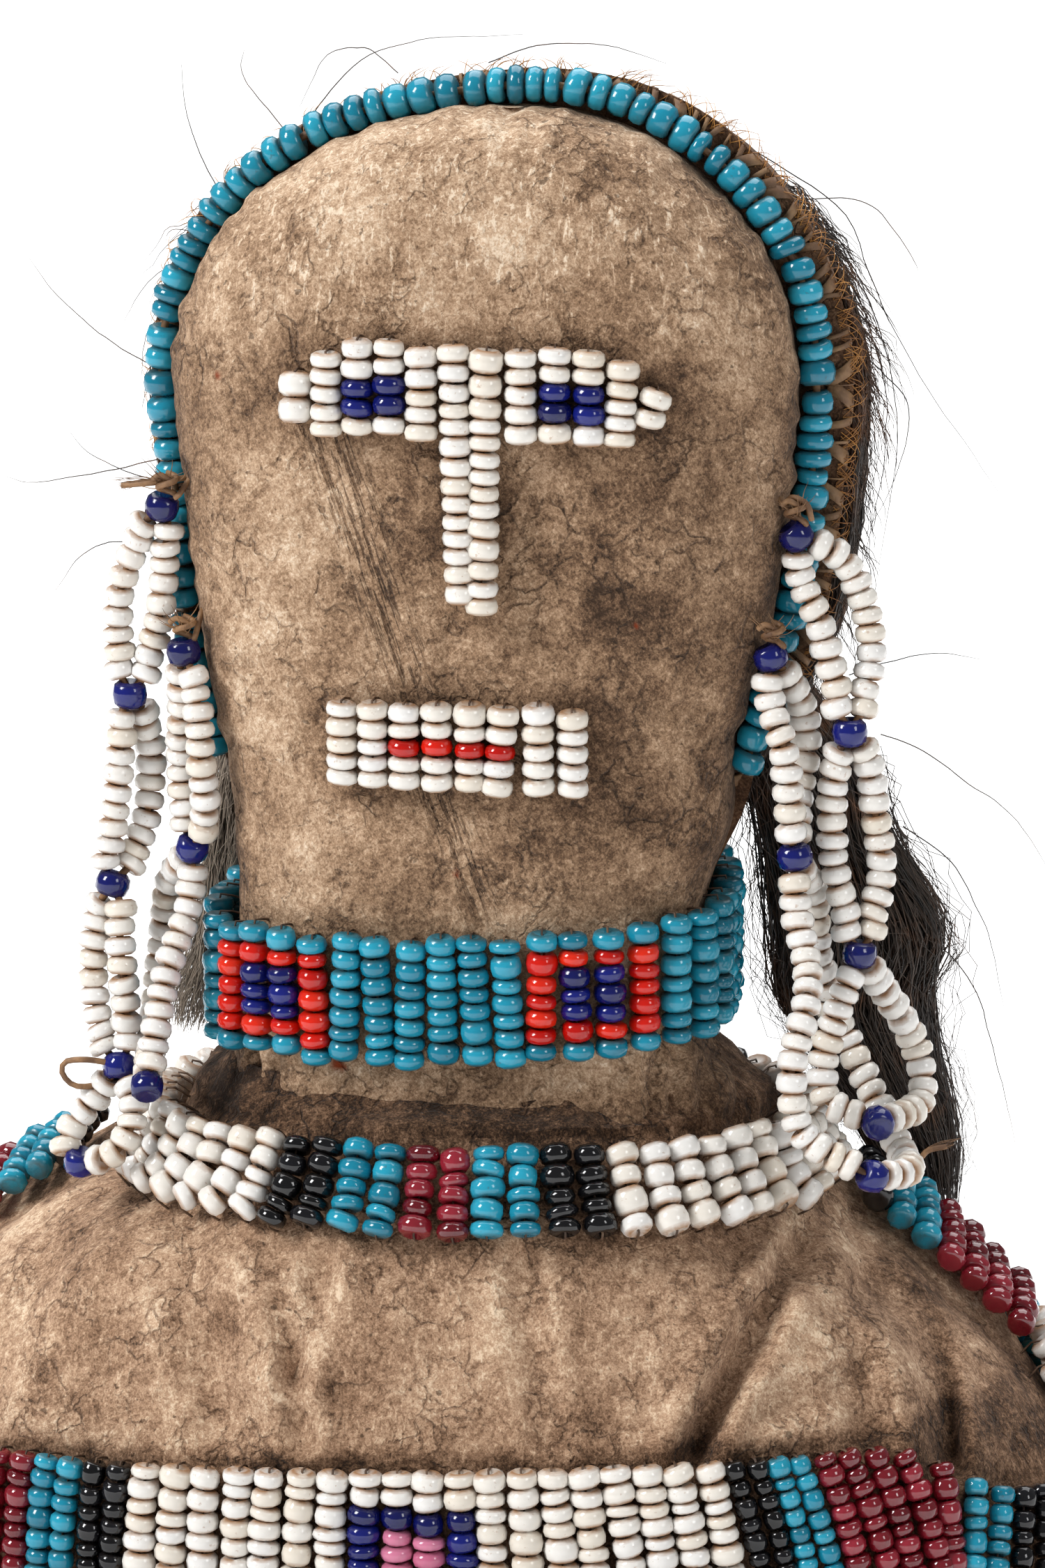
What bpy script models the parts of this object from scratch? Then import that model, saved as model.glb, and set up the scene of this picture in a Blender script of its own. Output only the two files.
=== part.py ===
"""Beaded hide doll: head, neck and shoulders, cut flat below the first rows of the chest lane.

All lengths below are millimetres. The doll looks along -Y, +X is the viewer's right, and the
origin is the middle of the flat cut face.
"""
import math
import bmesh
import bpy
from mathutils import Vector

MM = 0.001

# Glass seed beads, the same size all over the doll
BEAD_WIDTH = 2.0
BEAD_PITCH = 1.17
STRING_PITCH = 1.28
COLUMN_PITCH = 2.03
CLEARANCE = 0.3

# The head, measured to the middle of the bead string that edges the face
HEAD_HALF_WIDTH = 20.9
HEAD_WIDEST_Z = 75.3
HEAD_TOP_Z = 94.6
HEAD_ARCH_POWER = 2.2
HEAD_LEAN = 1.2
LEAN_FROM_Z = 40.0
LEAN_TO_Z = 68.0
CROWN_SKEW = 2.2
CHEEK_Z = 61.0
CHEEK_HALF_WIDTH = 19.3
JAW_Z = 51.5
JAW_HALF_WIDTH = 17.0
SEAM_Y = -5.5
FACE_WALL = 1.0
FACE_DEPTH = 7.8
FACE_DOME_POWER = 2.6
BACK_LIP = 2.2
BACK_RISE = 0.9
BACK_DEPTH = 14.0
BACK_GAP = 1.4
BACK_SKEW = 0.5

# The neck
NECK_FOOT_Z = 28.3
NECK_FOOT_HALF_WIDTH = 15.6
CHOKER_Z = 39.2
NECK_HALF_WIDTH = 14.7
CHOKER_ROWS = 7
CHOKER_TILT = 0.047
CHOKER_PITCH = 0.11

# The yoke of the dress over the stuffed shoulders
COLLAR_Z = 31.0
YOKE_STATIONS_LEFT = ((0, 42.5), (10, 40.5), (18.3, 33.1), (21.4, 28.3), (24.5, 21.6), (31, 18.3))
YOKE_STATIONS_RIGHT = ((0, 42.0), (10.5, 36.6), (17.7, 29.3), (21.5, 24.6), (24.5, 21.4), (31, 18.3))
YOKE_STATIONS_FRONT = ((0, 22.5), (11, 22.0), (18, 21.0), (22.7, 19.6), (26, 18.0), (31, 15.4))
YOKE_STATIONS_BACK = ((0, 18.0), (11, 17.5), (18, 16.5), (24, 14.8), (31, 11.6))
YOKE_SQUARENESS = 2.25

# Folds of the yoke on the viewer's right: x and z of both ends, depth and width
YOKE_FOLDS = ((23.5, 24.5, 16.5, 10.5, 1.3, 1.7),
              (29.5, 18.5, 31.5, 9.5, 1.1, 1.5),
              (-16.0, 23.5, -12.5, 12.0, 0.5, 2.2))

# Beaded lanes on the yoke
NECK_LANE_TOP_Z = 28.9
NECK_LANE_ROWS = 5
CHEST_LANE_TOP_Z = 10.4
CHEST_LANE_FOOT_Z = 0.6
CHEST_LANE_TILT = 0.05
LANE_GAP = 0.5
SHOULDER_LANE_ROWS = 5
SHOULDER_LANE_COLUMNS = 7

# Face beadwork
EYE_TOP_Z = 79.5
NOSE_X = 0.45
NOSE_ROWS = 14
MOUTH_X = 0.2
MOUTH_Z = 54.1
MOUTH_COLUMNS = 8
MOUTH_ROWS = 5
EYE_COLUMN_ROWS = (2, 5, 5, 5, 5)

# Bead strands at the ears: thickness, spacer beads, and each bead string's waist between its beads
STRAND_WIDTH = 2.0
SPACER_WIDTH = 2.5
STRAND_WAIST = 0.8
STRAND_TWIST = 0.3
EDGE_WAIST = 0.72

# Hair over the back of the head
HAIR_FOOT_Z = 50.0
HAIR_THICKNESS = 3.0
HAIR_SPREAD = 74.0
HAIR_TOP_Z = 89.0
HAIR_GAP = 0.9

# Locks hanging behind the neck: (across, behind, down from the hair's foot, radius) at each station,
# across from the head's side for the right lock and from the choker's side for the left one
LOCK_RIGHT = ((-0.6, -3.0, 0.0, 4.4), (0.4, -2.5, 3.4, 4.6), (2.7, -2.0, 10.2, 6.3), (2.3, -1.5, 14.6, 5.6),
              (3.9, 0.0, 19.4, 4.6), (5.9, 1.7, 24.9, 3.6), (7.4, 3.2, 30.9, 1.6))
LOCK_LEFT = ((0.7, -3.0, 0.0, 2.4), (-0.6, -4.3, 5.4, 1.6), (-1.2, -5.3, 11.4, 1.8), (-2.4, -5.5, 15.9, 2.8))
LOCK_LEFT_TIP = (-3.0, -5.5, 2.2)
LOCK_FLATNESS = 0.8

# How finely the solids are cut into facets, and how many beads or columns share one crest
HEAD_FACETS = 18
YOKE_FACETS = 36
YOKE_LEVELS = (0, 0.13, 0.26, 0.37, 0.48, 0.6, 0.69, 0.79, 0.89, 0.98)
LOCK_SIDES = 8
NECK_LANE_COLUMNS_PER_CREST = 2
CHEST_LANE_COLUMNS_PER_CREST = 4
STRAND_BEADS_PER_CREST = 7.5
EDGE_BEADS_PER_CREST = 1.2


def along(stations, at):
    """Smooth value at a height from a few (height, value) pairs, held past both ends."""
    if at <= stations[0][0]:
        return stations[0][1]
    if at >= stations[-1][0]:
        return stations[-1][1]
    last = len(stations) - 1
    k = max(i for i in range(last) if stations[i][0] <= at)

    def slope(i):
        low, high = max(i - 1, 0), min(i + 1, last)
        return (stations[high][1] - stations[low][1]) / (stations[high][0] - stations[low][0])

    (z0, v0), (z1, v1) = stations[k], stations[k + 1]
    span = z1 - z0
    t = (at - z0) / span
    return ((2 * t**3 - 3 * t**2 + 1) * v0 + (t**3 - 2 * t**2 + t) * span * slope(k)
            + (3 * t**2 - 2 * t**3) * v1 + (t**3 - t**2) * span * slope(k + 1))


def signed_power(value, power):
    return math.copysign(abs(value) ** power, value)


def material(name, colour, roughness):
    made = bpy.data.materials.new(name)
    made.use_nodes = True
    made.diffuse_color = (*colour, 1.0)
    shader = made.node_tree.nodes["Principled BSDF"]
    shader.inputs["Base Color"].default_value = (*colour, 1.0)
    shader.inputs["Roughness"].default_value = roughness
    shader.inputs["Metallic"].default_value = 0.0
    return made


def place(name, points, faces, finish):
    """One closed body from points in millimetres, with its faces turned outwards."""
    mesh = bpy.data.meshes.new(name)
    mesh.from_pydata([Vector(p) * MM for p in points], [], faces)
    shape = bmesh.new()
    shape.from_mesh(mesh)
    bmesh.ops.recalc_face_normals(shape, faces=shape.faces)
    shape.to_mesh(mesh)
    shape.free()
    mesh.shade_smooth()
    mesh.set_sharp_from_angle(angle=math.radians(50))
    mesh.materials.append(finish)
    item = bpy.data.objects.new(name, mesh)
    bpy.context.collection.objects.link(item)
    return item


def loft(name, rings, finish, closed=False):
    """Skin over rings of equally many points. Open lofts get flat ends."""
    count = len(rings[0])
    points = [p for ring in rings for p in ring]
    faces = []
    pairs = len(rings) if closed else len(rings) - 1
    for i in range(pairs):
        a, b = i * count, (i + 1) % len(rings) * count
        for j in range(count):
            k = (j + 1) % count
            faces.append((a + j, a + k, b + k, b + j))
    if not closed:
        faces.append(tuple(range(count)))
        faces.append(tuple((len(rings) - 1) * count + j for j in range(count)))
    return place(name, points, faces, finish)


# The head's outline

def half_width(z, grow=0.0, rise=None):
    """Half the head's width at a height, grown outwards from the middle of the edge string."""
    rise = grow if rise is None else rise
    if z >= HEAD_WIDEST_Z:
        share = (z - HEAD_WIDEST_Z) / (HEAD_TOP_Z + rise - HEAD_WIDEST_Z)
        return (HEAD_HALF_WIDTH + grow) * math.sqrt(max(0.0, 1 - share ** HEAD_ARCH_POWER))
    inset = BEAD_WIDTH / 2 + CLEARANCE
    stations = ((NECK_FOOT_Z, NECK_FOOT_HALF_WIDTH + inset), (CHOKER_Z, NECK_HALF_WIDTH + inset),
                (JAW_Z, JAW_HALF_WIDTH), (CHEEK_Z, CHEEK_HALF_WIDTH),
                (HEAD_WIDEST_Z, HEAD_HALF_WIDTH))
    return along(stations, z) + grow


def lean(z):
    """Sideways shift of the head over the neck, and of the crown over the head."""
    share = min(1.0, max(0.0, (z - LEAN_FROM_Z) / (LEAN_TO_Z - LEAN_FROM_Z)))
    crown = max(0.0, (z - HEAD_WIDEST_Z) / (HEAD_TOP_Z - HEAD_WIDEST_Z))
    return HEAD_LEAN * share * share * (3 - 2 * share) + CROWN_SKEW * crown ** 5


HIDE_INSET = -(BEAD_WIDTH / 2 + CLEARANCE)
CROWN_SHARE = 0.985


def dome(z, rise):
    """How far the crown has rounded over: 1 on the face, 0 at the very top."""
    share = max(0.0, (z - HEAD_WIDEST_Z) / (HEAD_TOP_Z + rise - HEAD_WIDEST_Z))
    return math.sqrt(max(0.0, 1 - share ** (FACE_DOME_POWER + 1)))


def face_depth(z):
    stations = ((NECK_FOOT_Z, FACE_DEPTH * 0.94), (CHOKER_Z, FACE_DEPTH * 0.9), (JAW_Z, FACE_DEPTH * 0.97),
                (CHEEK_Z, FACE_DEPTH), (HEAD_WIDEST_Z, FACE_DEPTH))
    return along(stations, z) * dome(z, HIDE_INSET)


def face_y(x, z, proud=0.0):
    """Front surface of the face and neck hide, or a point that stands proud of it."""
    share = min(1.0, abs(x - lean(z)) / half_width(z, HIDE_INSET))
    return SEAM_Y - FACE_WALL - face_depth(z) * math.sqrt(1 - share ** FACE_DOME_POWER) - proud


def head_heights(rise):
    low = [NECK_FOOT_Z, 33.0, CHOKER_Z, 44.0, JAW_Z, 56.5, CHEEK_Z, 68.0, HEAD_WIDEST_Z]
    span = HEAD_TOP_Z + rise - HEAD_WIDEST_Z
    steps = 7
    high = [HEAD_WIDEST_Z + span * math.sin(math.pi / 2 * k / steps) for k in range(1, steps)]
    return low + high + [HEAD_WIDEST_Z + span * CROWN_SHARE ** 0.3]


def head_front(finish):
    rings = []
    back = SEAM_Y + BACK_GAP - CLEARANCE
    for z in head_heights(HIDE_INSET):
        half = half_width(z, HIDE_INSET)
        ring = [(lean(z) + half, back, z)]
        for k in range(HEAD_FACETS + 1):
            x = lean(z) + half * math.cos(math.pi * k / HEAD_FACETS)
            ring.append((x, face_y(x, z), z))
        ring.append((lean(z) - half, back, z))
        rings.append(ring)
    return loft("head_front", rings, finish)


def back_flare(z):
    """0 on the neck to 1 on the head, where the back panel flares past the edge string."""
    share = min(1.0, max(0.0, (z - CHOKER_Z - 5.0) / (CHEEK_Z - CHOKER_Z - 5.0)))
    return share * share * (3 - 2 * share)


def back_half_width(z):
    if z >= CHEEK_Z:
        return half_width(z, BACK_LIP, BACK_RISE)
    return half_width(z, HIDE_INSET + (BACK_LIP - HIDE_INSET) * back_flare(z))


def back_depth(z):
    share = max(0.0, (z - HEAD_WIDEST_Z) / (HEAD_TOP_Z + BACK_RISE - HEAD_WIDEST_Z))
    stations = ((NECK_FOOT_Z, BACK_DEPTH * 0.93), (CHOKER_Z, BACK_DEPTH * 0.88), (CHEEK_Z, BACK_DEPTH))
    return along(stations, z) * math.sqrt(max(0.0, 1 - share ** 2.6))


BACK_FRONT_Y = SEAM_Y + BACK_GAP
BACK_ROUNDING = 0.72


def back_point(z, turn, proud=0.0):
    """Surface of the back panel. turn runs from 0 at the viewer's right over 90 behind to 180."""
    half, deep = back_half_width(z) + proud, back_depth(z) + proud
    c, s = math.cos(math.radians(turn)), math.sin(math.radians(turn))
    middle = lean(z) + BACK_SKEW * back_flare(z)
    return (middle + half * signed_power(c, BACK_ROUNDING), BACK_FRONT_Y + deep * abs(s) ** BACK_ROUNDING, z)


def head_back(finish):
    rings = []
    for z in head_heights(BACK_RISE):
        rings.append([back_point(z, 180 * k / HEAD_FACETS) for k in range(HEAD_FACETS + 1)])
    return loft("head_back", rings, finish)


# Bead strings and bead lanes

def spread(points, spacing, closed=False):
    """Points at an even spacing along a path, with an even number of gaps."""
    path = [Vector(p) for p in points] + ([Vector(points[0])] if closed else [])
    runs = [0.0]
    for a, b in zip(path, path[1:]):
        runs.append(runs[-1] + (b - a).length)
    gaps = max(2, 2 * round(runs[-1] / spacing / 2))
    out, k = [], 0
    for i in range(gaps + (0 if closed else 1)):
        want = runs[-1] * i / gaps
        while k < len(runs) - 2 and runs[k + 1] < want:
            k += 1
        share = (want - runs[k]) / max(runs[k + 1] - runs[k], 1e-9)
        out.append(path[k].lerp(path[k + 1], min(1.0, share)))
    return out


def smooth_path(points, steps=6):
    """Catmull-Rom curve through a few chosen points."""
    knots = [Vector(p) for p in points]
    knots = [2 * knots[0] - knots[1]] + knots + [2 * knots[-1] - knots[-2]]
    out = []
    for i in range(1, len(knots) - 2):
        a, b, c, d = knots[i - 1:i + 3]
        for k in range(steps):
            t = k / steps
            out.append(0.5 * (2 * b + (c - a) * t + (2 * a - 5 * b + 4 * c - d) * t * t
                              + (3 * b - a - 3 * c + d) * t**3))
    return out + [knots[-2]]


def string_rings(path, radius, waist, sides, twist=0.0):
    """Rings along a bead string, wide at each bead and waisted between beads.

    The twist, in sides, keeps the facets of two strings that meet from lying in one plane.
    """
    turns = [2 * math.pi * (k + twist) / sides for k in range(sides)]
    rings = []
    side = Vector((0, 1, 0))
    for i, p in enumerate(path):
        ahead = (path[min(i + 1, len(path) - 1)] - path[max(i - 1, 0)]).normalized()
        side = (side - ahead * side.dot(ahead)).normalized()
        other = ahead.cross(side)
        r = radius if i % 2 else radius * waist
        rings.append([p + (side * math.cos(turn) + other * math.sin(turn)) * r for turn in turns])
    return rings


def edge_bead_string(finish):
    arch = []
    for k in range(61):
        angle = math.pi * k / 60
        rise = (HEAD_TOP_Z - HEAD_WIDEST_Z) * math.sin(angle) ** (2 / HEAD_ARCH_POWER)
        z = HEAD_WIDEST_Z + rise
        arch.append((lean(z) + HEAD_HALF_WIDTH * math.cos(angle), SEAM_Y, z))
    steps = 10
    heights = [JAW_Z + (HEAD_WIDEST_Z - JAW_Z) * k / steps for k in range(steps)]
    right = [(lean(z) + half_width(z), SEAM_Y, z) for z in heights]
    left = [(lean(z) - half_width(z), SEAM_Y, z) for z in reversed(heights)]
    path = spread(right + arch + left, STRING_PITCH * EDGE_BEADS_PER_CREST / 2)
    return loft("edge_bead_string", string_rings(path, BEAD_WIDTH / 2, EDGE_WAIST, 4), finish)


def bead_lane(name, stretches, gap, finish, closed=False, groove=0.62):
    """Bead columns side by side, fused. A stretch lists (point, normal) up one column's middle.

    Every other stretch is a crest, and those between are grooves, as a share of a bead's height.
    """
    rings = []
    for i, stretch in enumerate(stretches):
        crest = i % 2 == 1
        high = BEAD_WIDTH * (1.0 if crest else groove)
        shrink = 0.0 if crest else BEAD_WIDTH * (1 - groove) / 2
        run = (stretch[-1][0] - stretch[0][0]).normalized()
        inner, outer = [], []
        for j, (point, normal) in enumerate(stretch):
            slide = run * (shrink if j == 0 else -shrink if j == len(stretch) - 1 else 0.0)
            tuck = run * (0.35 if j == 0 else -0.35 if j == len(stretch) - 1 else 0.0)
            inner.append(point + slide + normal * gap)
            outer.append(point + slide + tuck + normal * (gap + high))
        rings.append(inner + outer[::-1])
    return loft(name, rings, finish, closed)


def neck_outline(z, proud=0.0):
    """Closed outline of neck hide and back hide together at a height, from the viewer's right."""
    half = half_width(z, HIDE_INSET)
    across = [lean(z) + half * math.cos(math.pi * k / 24) for k in range(25)]
    front = [Vector((x, face_y(x, z), z)) for x in across]
    behind = [Vector(back_point(z, 180 - 180 * k / 24)) for k in range(25)]
    ring = front + behind
    middle = Vector((0, BACK_FRONT_Y, z))
    return [p + (p - middle).normalized() * proud for p in ring]


def choker_beads(finish):
    low = CHOKER_Z - CHOKER_ROWS * BEAD_PITCH / 2
    high = CHOKER_Z + CHOKER_ROWS * BEAD_PITCH / 2
    widest = max((neck_outline(z) for z in (low, high)), key=lambda ring: ring[0].x)
    stations = spread(widest, COLUMN_PITCH / 2, closed=True)
    middle = Vector((0, BACK_FRONT_Y, 0))
    stretches = []
    for i, p in enumerate(stations):
        ahead = stations[(i + 1) % len(stations)] - stations[i - 1]
        normal = Vector((ahead.y, -ahead.x, 0)).normalized()
        if normal.dot(p - middle) < 0:
            normal = -normal
        lift = CHOKER_TILT * p.x + CHOKER_PITCH * (p.y - BACK_FRONT_Y)
        stretches.append([(Vector((p.x, p.y, z + lift)), normal) for z in (low, high)])
    return bead_lane("choker_beads", stretches, CLEARANCE, finish, closed=True)


def bead_patch(name, columns, finish):
    """Beads sewn flat on the face: each bead a low pad, all pads of the patch fused.

    A column is (x, top z, rows).
    """
    step_x, step_z = COLUMN_PITCH / 2, BEAD_PITCH / 2
    most = max(rows for _, _, rows in columns)
    lowest = min(top - rows * BEAD_PITCH for _, top, rows in columns)
    level = [round((top - rows * BEAD_PITCH - lowest) / BEAD_PITCH) for _, top, rows in columns]
    rings = []
    for i in range(2 * len(columns) + 1):
        near = [columns[min(max(c, 0), len(columns) - 1)] for c in ((i - 1) // 2, i // 2)]
        crest = i % 2 == 1
        x = columns[0][0] + (i - 1) * step_x
        rows = min(near[0][2], near[1][2])
        top = min(near[0][1], near[1][1])
        foot = max(near[0][1] - near[0][2] * BEAD_PITCH, near[1][1] - near[1][2] * BEAD_PITCH)
        front, back = [], []
        for j in range(2 * most + 1):
            z = foot + (top - foot) * j / (2 * most)
            bead = crest and (j % 2 == 1 or rows != most)
            rim = j in (0, 2 * most)
            high = BEAD_WIDTH * (1.0 if bead else 0.45 if rim else 0.75 if crest else 0.6)
            front.append(Vector((x, face_y(x, z, CLEARANCE + high), z)))
            back.append(Vector((x, face_y(x, z, CLEARANCE), z)))
        rings.append(front + [back[-1], back[most], back[0]])
    return loft(name, rings, finish)


def face_beads(finish):
    gap = CLEARANCE / 2
    eye_foot = EYE_TOP_Z - 5 * BEAD_PITCH
    middle = HEAD_LEAN + NOSE_X
    bead_patch("nose_beads", [(middle + side * COLUMN_PITCH / 2, EYE_TOP_Z, NOSE_ROWS) for side in (-1, 1)],
               finish)
    first = COLUMN_PITCH + gap * 2 + COLUMN_PITCH / 2
    for side, name in ((-1, "eye_left_beads"), (1, "eye_right_beads")):
        columns = []
        for k, rows in enumerate(reversed(EYE_COLUMN_ROWS)):
            top = eye_foot + (5 + rows) / 2 * BEAD_PITCH
            columns.append((middle + side * (first + k * COLUMN_PITCH), top, rows))
        bead_patch(name, sorted(columns), finish)
    left = lean(MOUTH_Z) + MOUTH_X - (MOUTH_COLUMNS - 1) / 2 * COLUMN_PITCH
    top = MOUTH_Z + MOUTH_ROWS * BEAD_PITCH / 2
    bead_patch("mouth_beads", [(left + k * COLUMN_PITCH, top, MOUTH_ROWS)
                               for k in range(MOUTH_COLUMNS)], finish)


# The yoke

def yoke_point(turn, z, folded=False):
    """Surface of the yoke. turn is 0 at the viewer's right, 90 in front and 180 at the left.

    The folds are left out where the beaded lanes bridge them.
    """
    c, s = math.cos(math.radians(turn)), math.sin(math.radians(turn))
    side = along(YOKE_STATIONS_RIGHT if c >= 0 else YOKE_STATIONS_LEFT, z)
    deep = along(YOKE_STATIONS_FRONT if s >= 0 else YOKE_STATIONS_BACK, z)
    x = side * signed_power(c, 2 / YOKE_SQUARENESS)
    y = -deep * signed_power(s, 2 / YOKE_SQUARENESS)
    if folded and s > 0:
        y += sum(fold_depth(x, z, fold) for fold in YOKE_FOLDS) * min(1.0, s * 2)
    return Vector((x, y, z))


def fold_depth(x, z, fold):
    """How far a fold sinks at a point of the yoke's front."""
    x0, z0, x1, z1, depth, width = fold
    run = Vector((x1 - x0, z1 - z0))
    share = Vector((x - x0, z - z0)).dot(run) / run.length_squared
    share = min(1.0, max(0.0, share))
    away = math.hypot(x - x0 - run.x * share, z - z0 - run.y * share)
    return depth * math.exp(-(away / width) ** 2)


def yoke_normal(turn, z):
    along_turn = yoke_point(turn + 1.5, z) - yoke_point(turn - 1.5, z)
    along_z = yoke_point(turn, z + 0.4) - yoke_point(turn, z - 0.4)
    return along_z.cross(along_turn).normalized()


def down_yoke(turn, z, length, pieces):
    """Points and normals down the yoke from a height, over a length measured on the surface."""
    out = [(yoke_point(turn, z), yoke_normal(turn, z))]
    step, gone, target = 0.15, 0.0, length / pieces
    here = out[0][0]
    while len(out) < pieces + 1 and z > 0:
        z -= step
        there = yoke_point(turn, z)
        gone += (there - here).length
        here = there
        if gone >= target * len(out):
            out.append((there, yoke_normal(turn, z)))
    return out[::-1]


def dress_yoke(finish):
    rings = []
    turns = [360 * (k + 0.5) / YOKE_FACETS for k in range(YOKE_FACETS)]
    for level in YOKE_LEVELS:
        rings.append([yoke_point(turn, COLLAR_Z * level, folded=True) for turn in turns])
    rings.append([yoke_point(turn, COLLAR_Z) for turn in turns])
    hole = [neck_at(turn) for turn in turns]
    rings.append([Vector((p.x, p.y, COLLAR_Z)) for p in hole])
    rings.append([Vector((p.x, p.y, NECK_FOOT_Z - CLEARANCE)) for p in hole])
    return loft("dress_yoke", rings, finish)


def neck_at(turn):
    """Neck opening in the collar, a clearance wider than the neck that stands in it."""
    widest = max((neck_outline(z, CLEARANCE) for z in (NECK_FOOT_Z, COLLAR_Z)), key=lambda ring: ring[0].x)
    want = Vector((math.cos(math.radians(turn)), -math.sin(math.radians(turn))))
    middle = Vector((0, BACK_FRONT_Y))
    count = len(widest)
    for i in range(count):
        a, b = widest[i].xy - middle, widest[(i + 1) % count].xy - middle
        turn_a, turn_b = want.cross(a), want.cross(b)
        if turn_a >= 0 > turn_b and a.dot(want) > 0:
            hit = a.lerp(b, turn_a / (turn_a - turn_b)) + middle
            return Vector((hit.x, hit.y, 0)) + Vector((*want, 0)) * CLEARANCE / 2
    raise ValueError("the neck outline doesn't close")


def walk_turns(z, first, last, spacing):
    """Angles round the yoke between two angles, at an even spacing on its surface."""
    fine = [first + (last - first) * k / 600 for k in range(601)]
    runs = [0.0]
    for a, b in zip(fine, fine[1:]):
        runs.append(runs[-1] + (yoke_point(b, z) - yoke_point(a, z)).length)
    gaps = max(2, 2 * round(runs[-1] / spacing / 2))
    out = []
    for i in range(gaps + 1):
        want = runs[-1] * i / gaps
        k = next(n for n, run in enumerate(runs) if run >= want - 1e-6)
        out.append(fine[k])
    return out


def neckline_lane(finish):
    turns = walk_turns(NECK_LANE_TOP_Z - 2, 0, 360, COLUMN_PITCH * NECK_LANE_COLUMNS_PER_CREST / 2)[:-1]
    length = NECK_LANE_ROWS * BEAD_PITCH
    stretches = [down_yoke(turn, NECK_LANE_TOP_Z, length, 2) for turn in turns]
    return bead_lane("neckline_lane", stretches, LANE_GAP, finish, closed=True, groove=0.85)


def chest_lane(finish):
    turns = walk_turns(CHEST_LANE_TOP_Z / 2, 0, 360, COLUMN_PITCH * CHEST_LANE_COLUMNS_PER_CREST / 2)[:-1]
    stretches = []
    for turn in turns:
        top = CHEST_LANE_TOP_Z + CHEST_LANE_TILT * yoke_point(turn, CHEST_LANE_TOP_Z).x
        heights = (CHEST_LANE_FOOT_Z, (CHEST_LANE_FOOT_Z + top) / 2, top)
        stretches.append([(yoke_point(turn, z), yoke_normal(turn, z)) for z in heights])
    return bead_lane("chest_lane", stretches, LANE_GAP, finish, closed=True, groove=0.85)


def shoulder_lane(name, side, finish):
    """Columns across the back of the shoulder ridge, from the neckline lane out to the sleeve."""
    ridge = 0 if side > 0 else 180
    lane_foot = down_yoke(ridge, NECK_LANE_TOP_Z, NECK_LANE_ROWS * BEAD_PITCH, 2)[0][0].z
    start = lane_foot - BEAD_WIDTH * 0.9
    width = SHOULDER_LANE_ROWS * BEAD_PITCH
    stretches = []
    z, gone, need = start, 0.0, 0.0
    here = yoke_point(ridge, z)
    while len(stretches) < 2 * SHOULDER_LANE_COLUMNS + 1 and z > CHEST_LANE_TOP_Z + BEAD_WIDTH:
        if gone >= need:
            reach, turn = 0.0, ridge
            column = [(yoke_point(turn, z), yoke_normal(turn, z))]
            while reach < width:
                turn -= 0.5 * side
                point = yoke_point(turn, z)
                reach += (point - yoke_point(turn + 0.5 * side, z)).length
                if reach >= width / 2 * len(column):
                    column.append((point, yoke_normal(turn, z)))
            stretches.append(column)
            need += COLUMN_PITCH / 2
        z -= 0.05
        there = yoke_point(ridge, z)
        gone += (there - here).length
        here = there
    if len(stretches) % 2 == 0:
        stretches.pop()
    return bead_lane(name, stretches, LANE_GAP, finish)


# Bead strands at the ears. Each route point is (out past the head's edge at that height, forward of
# the seam, height), chosen by eye; both strands of a pair meet in its spacer beads.

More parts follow.
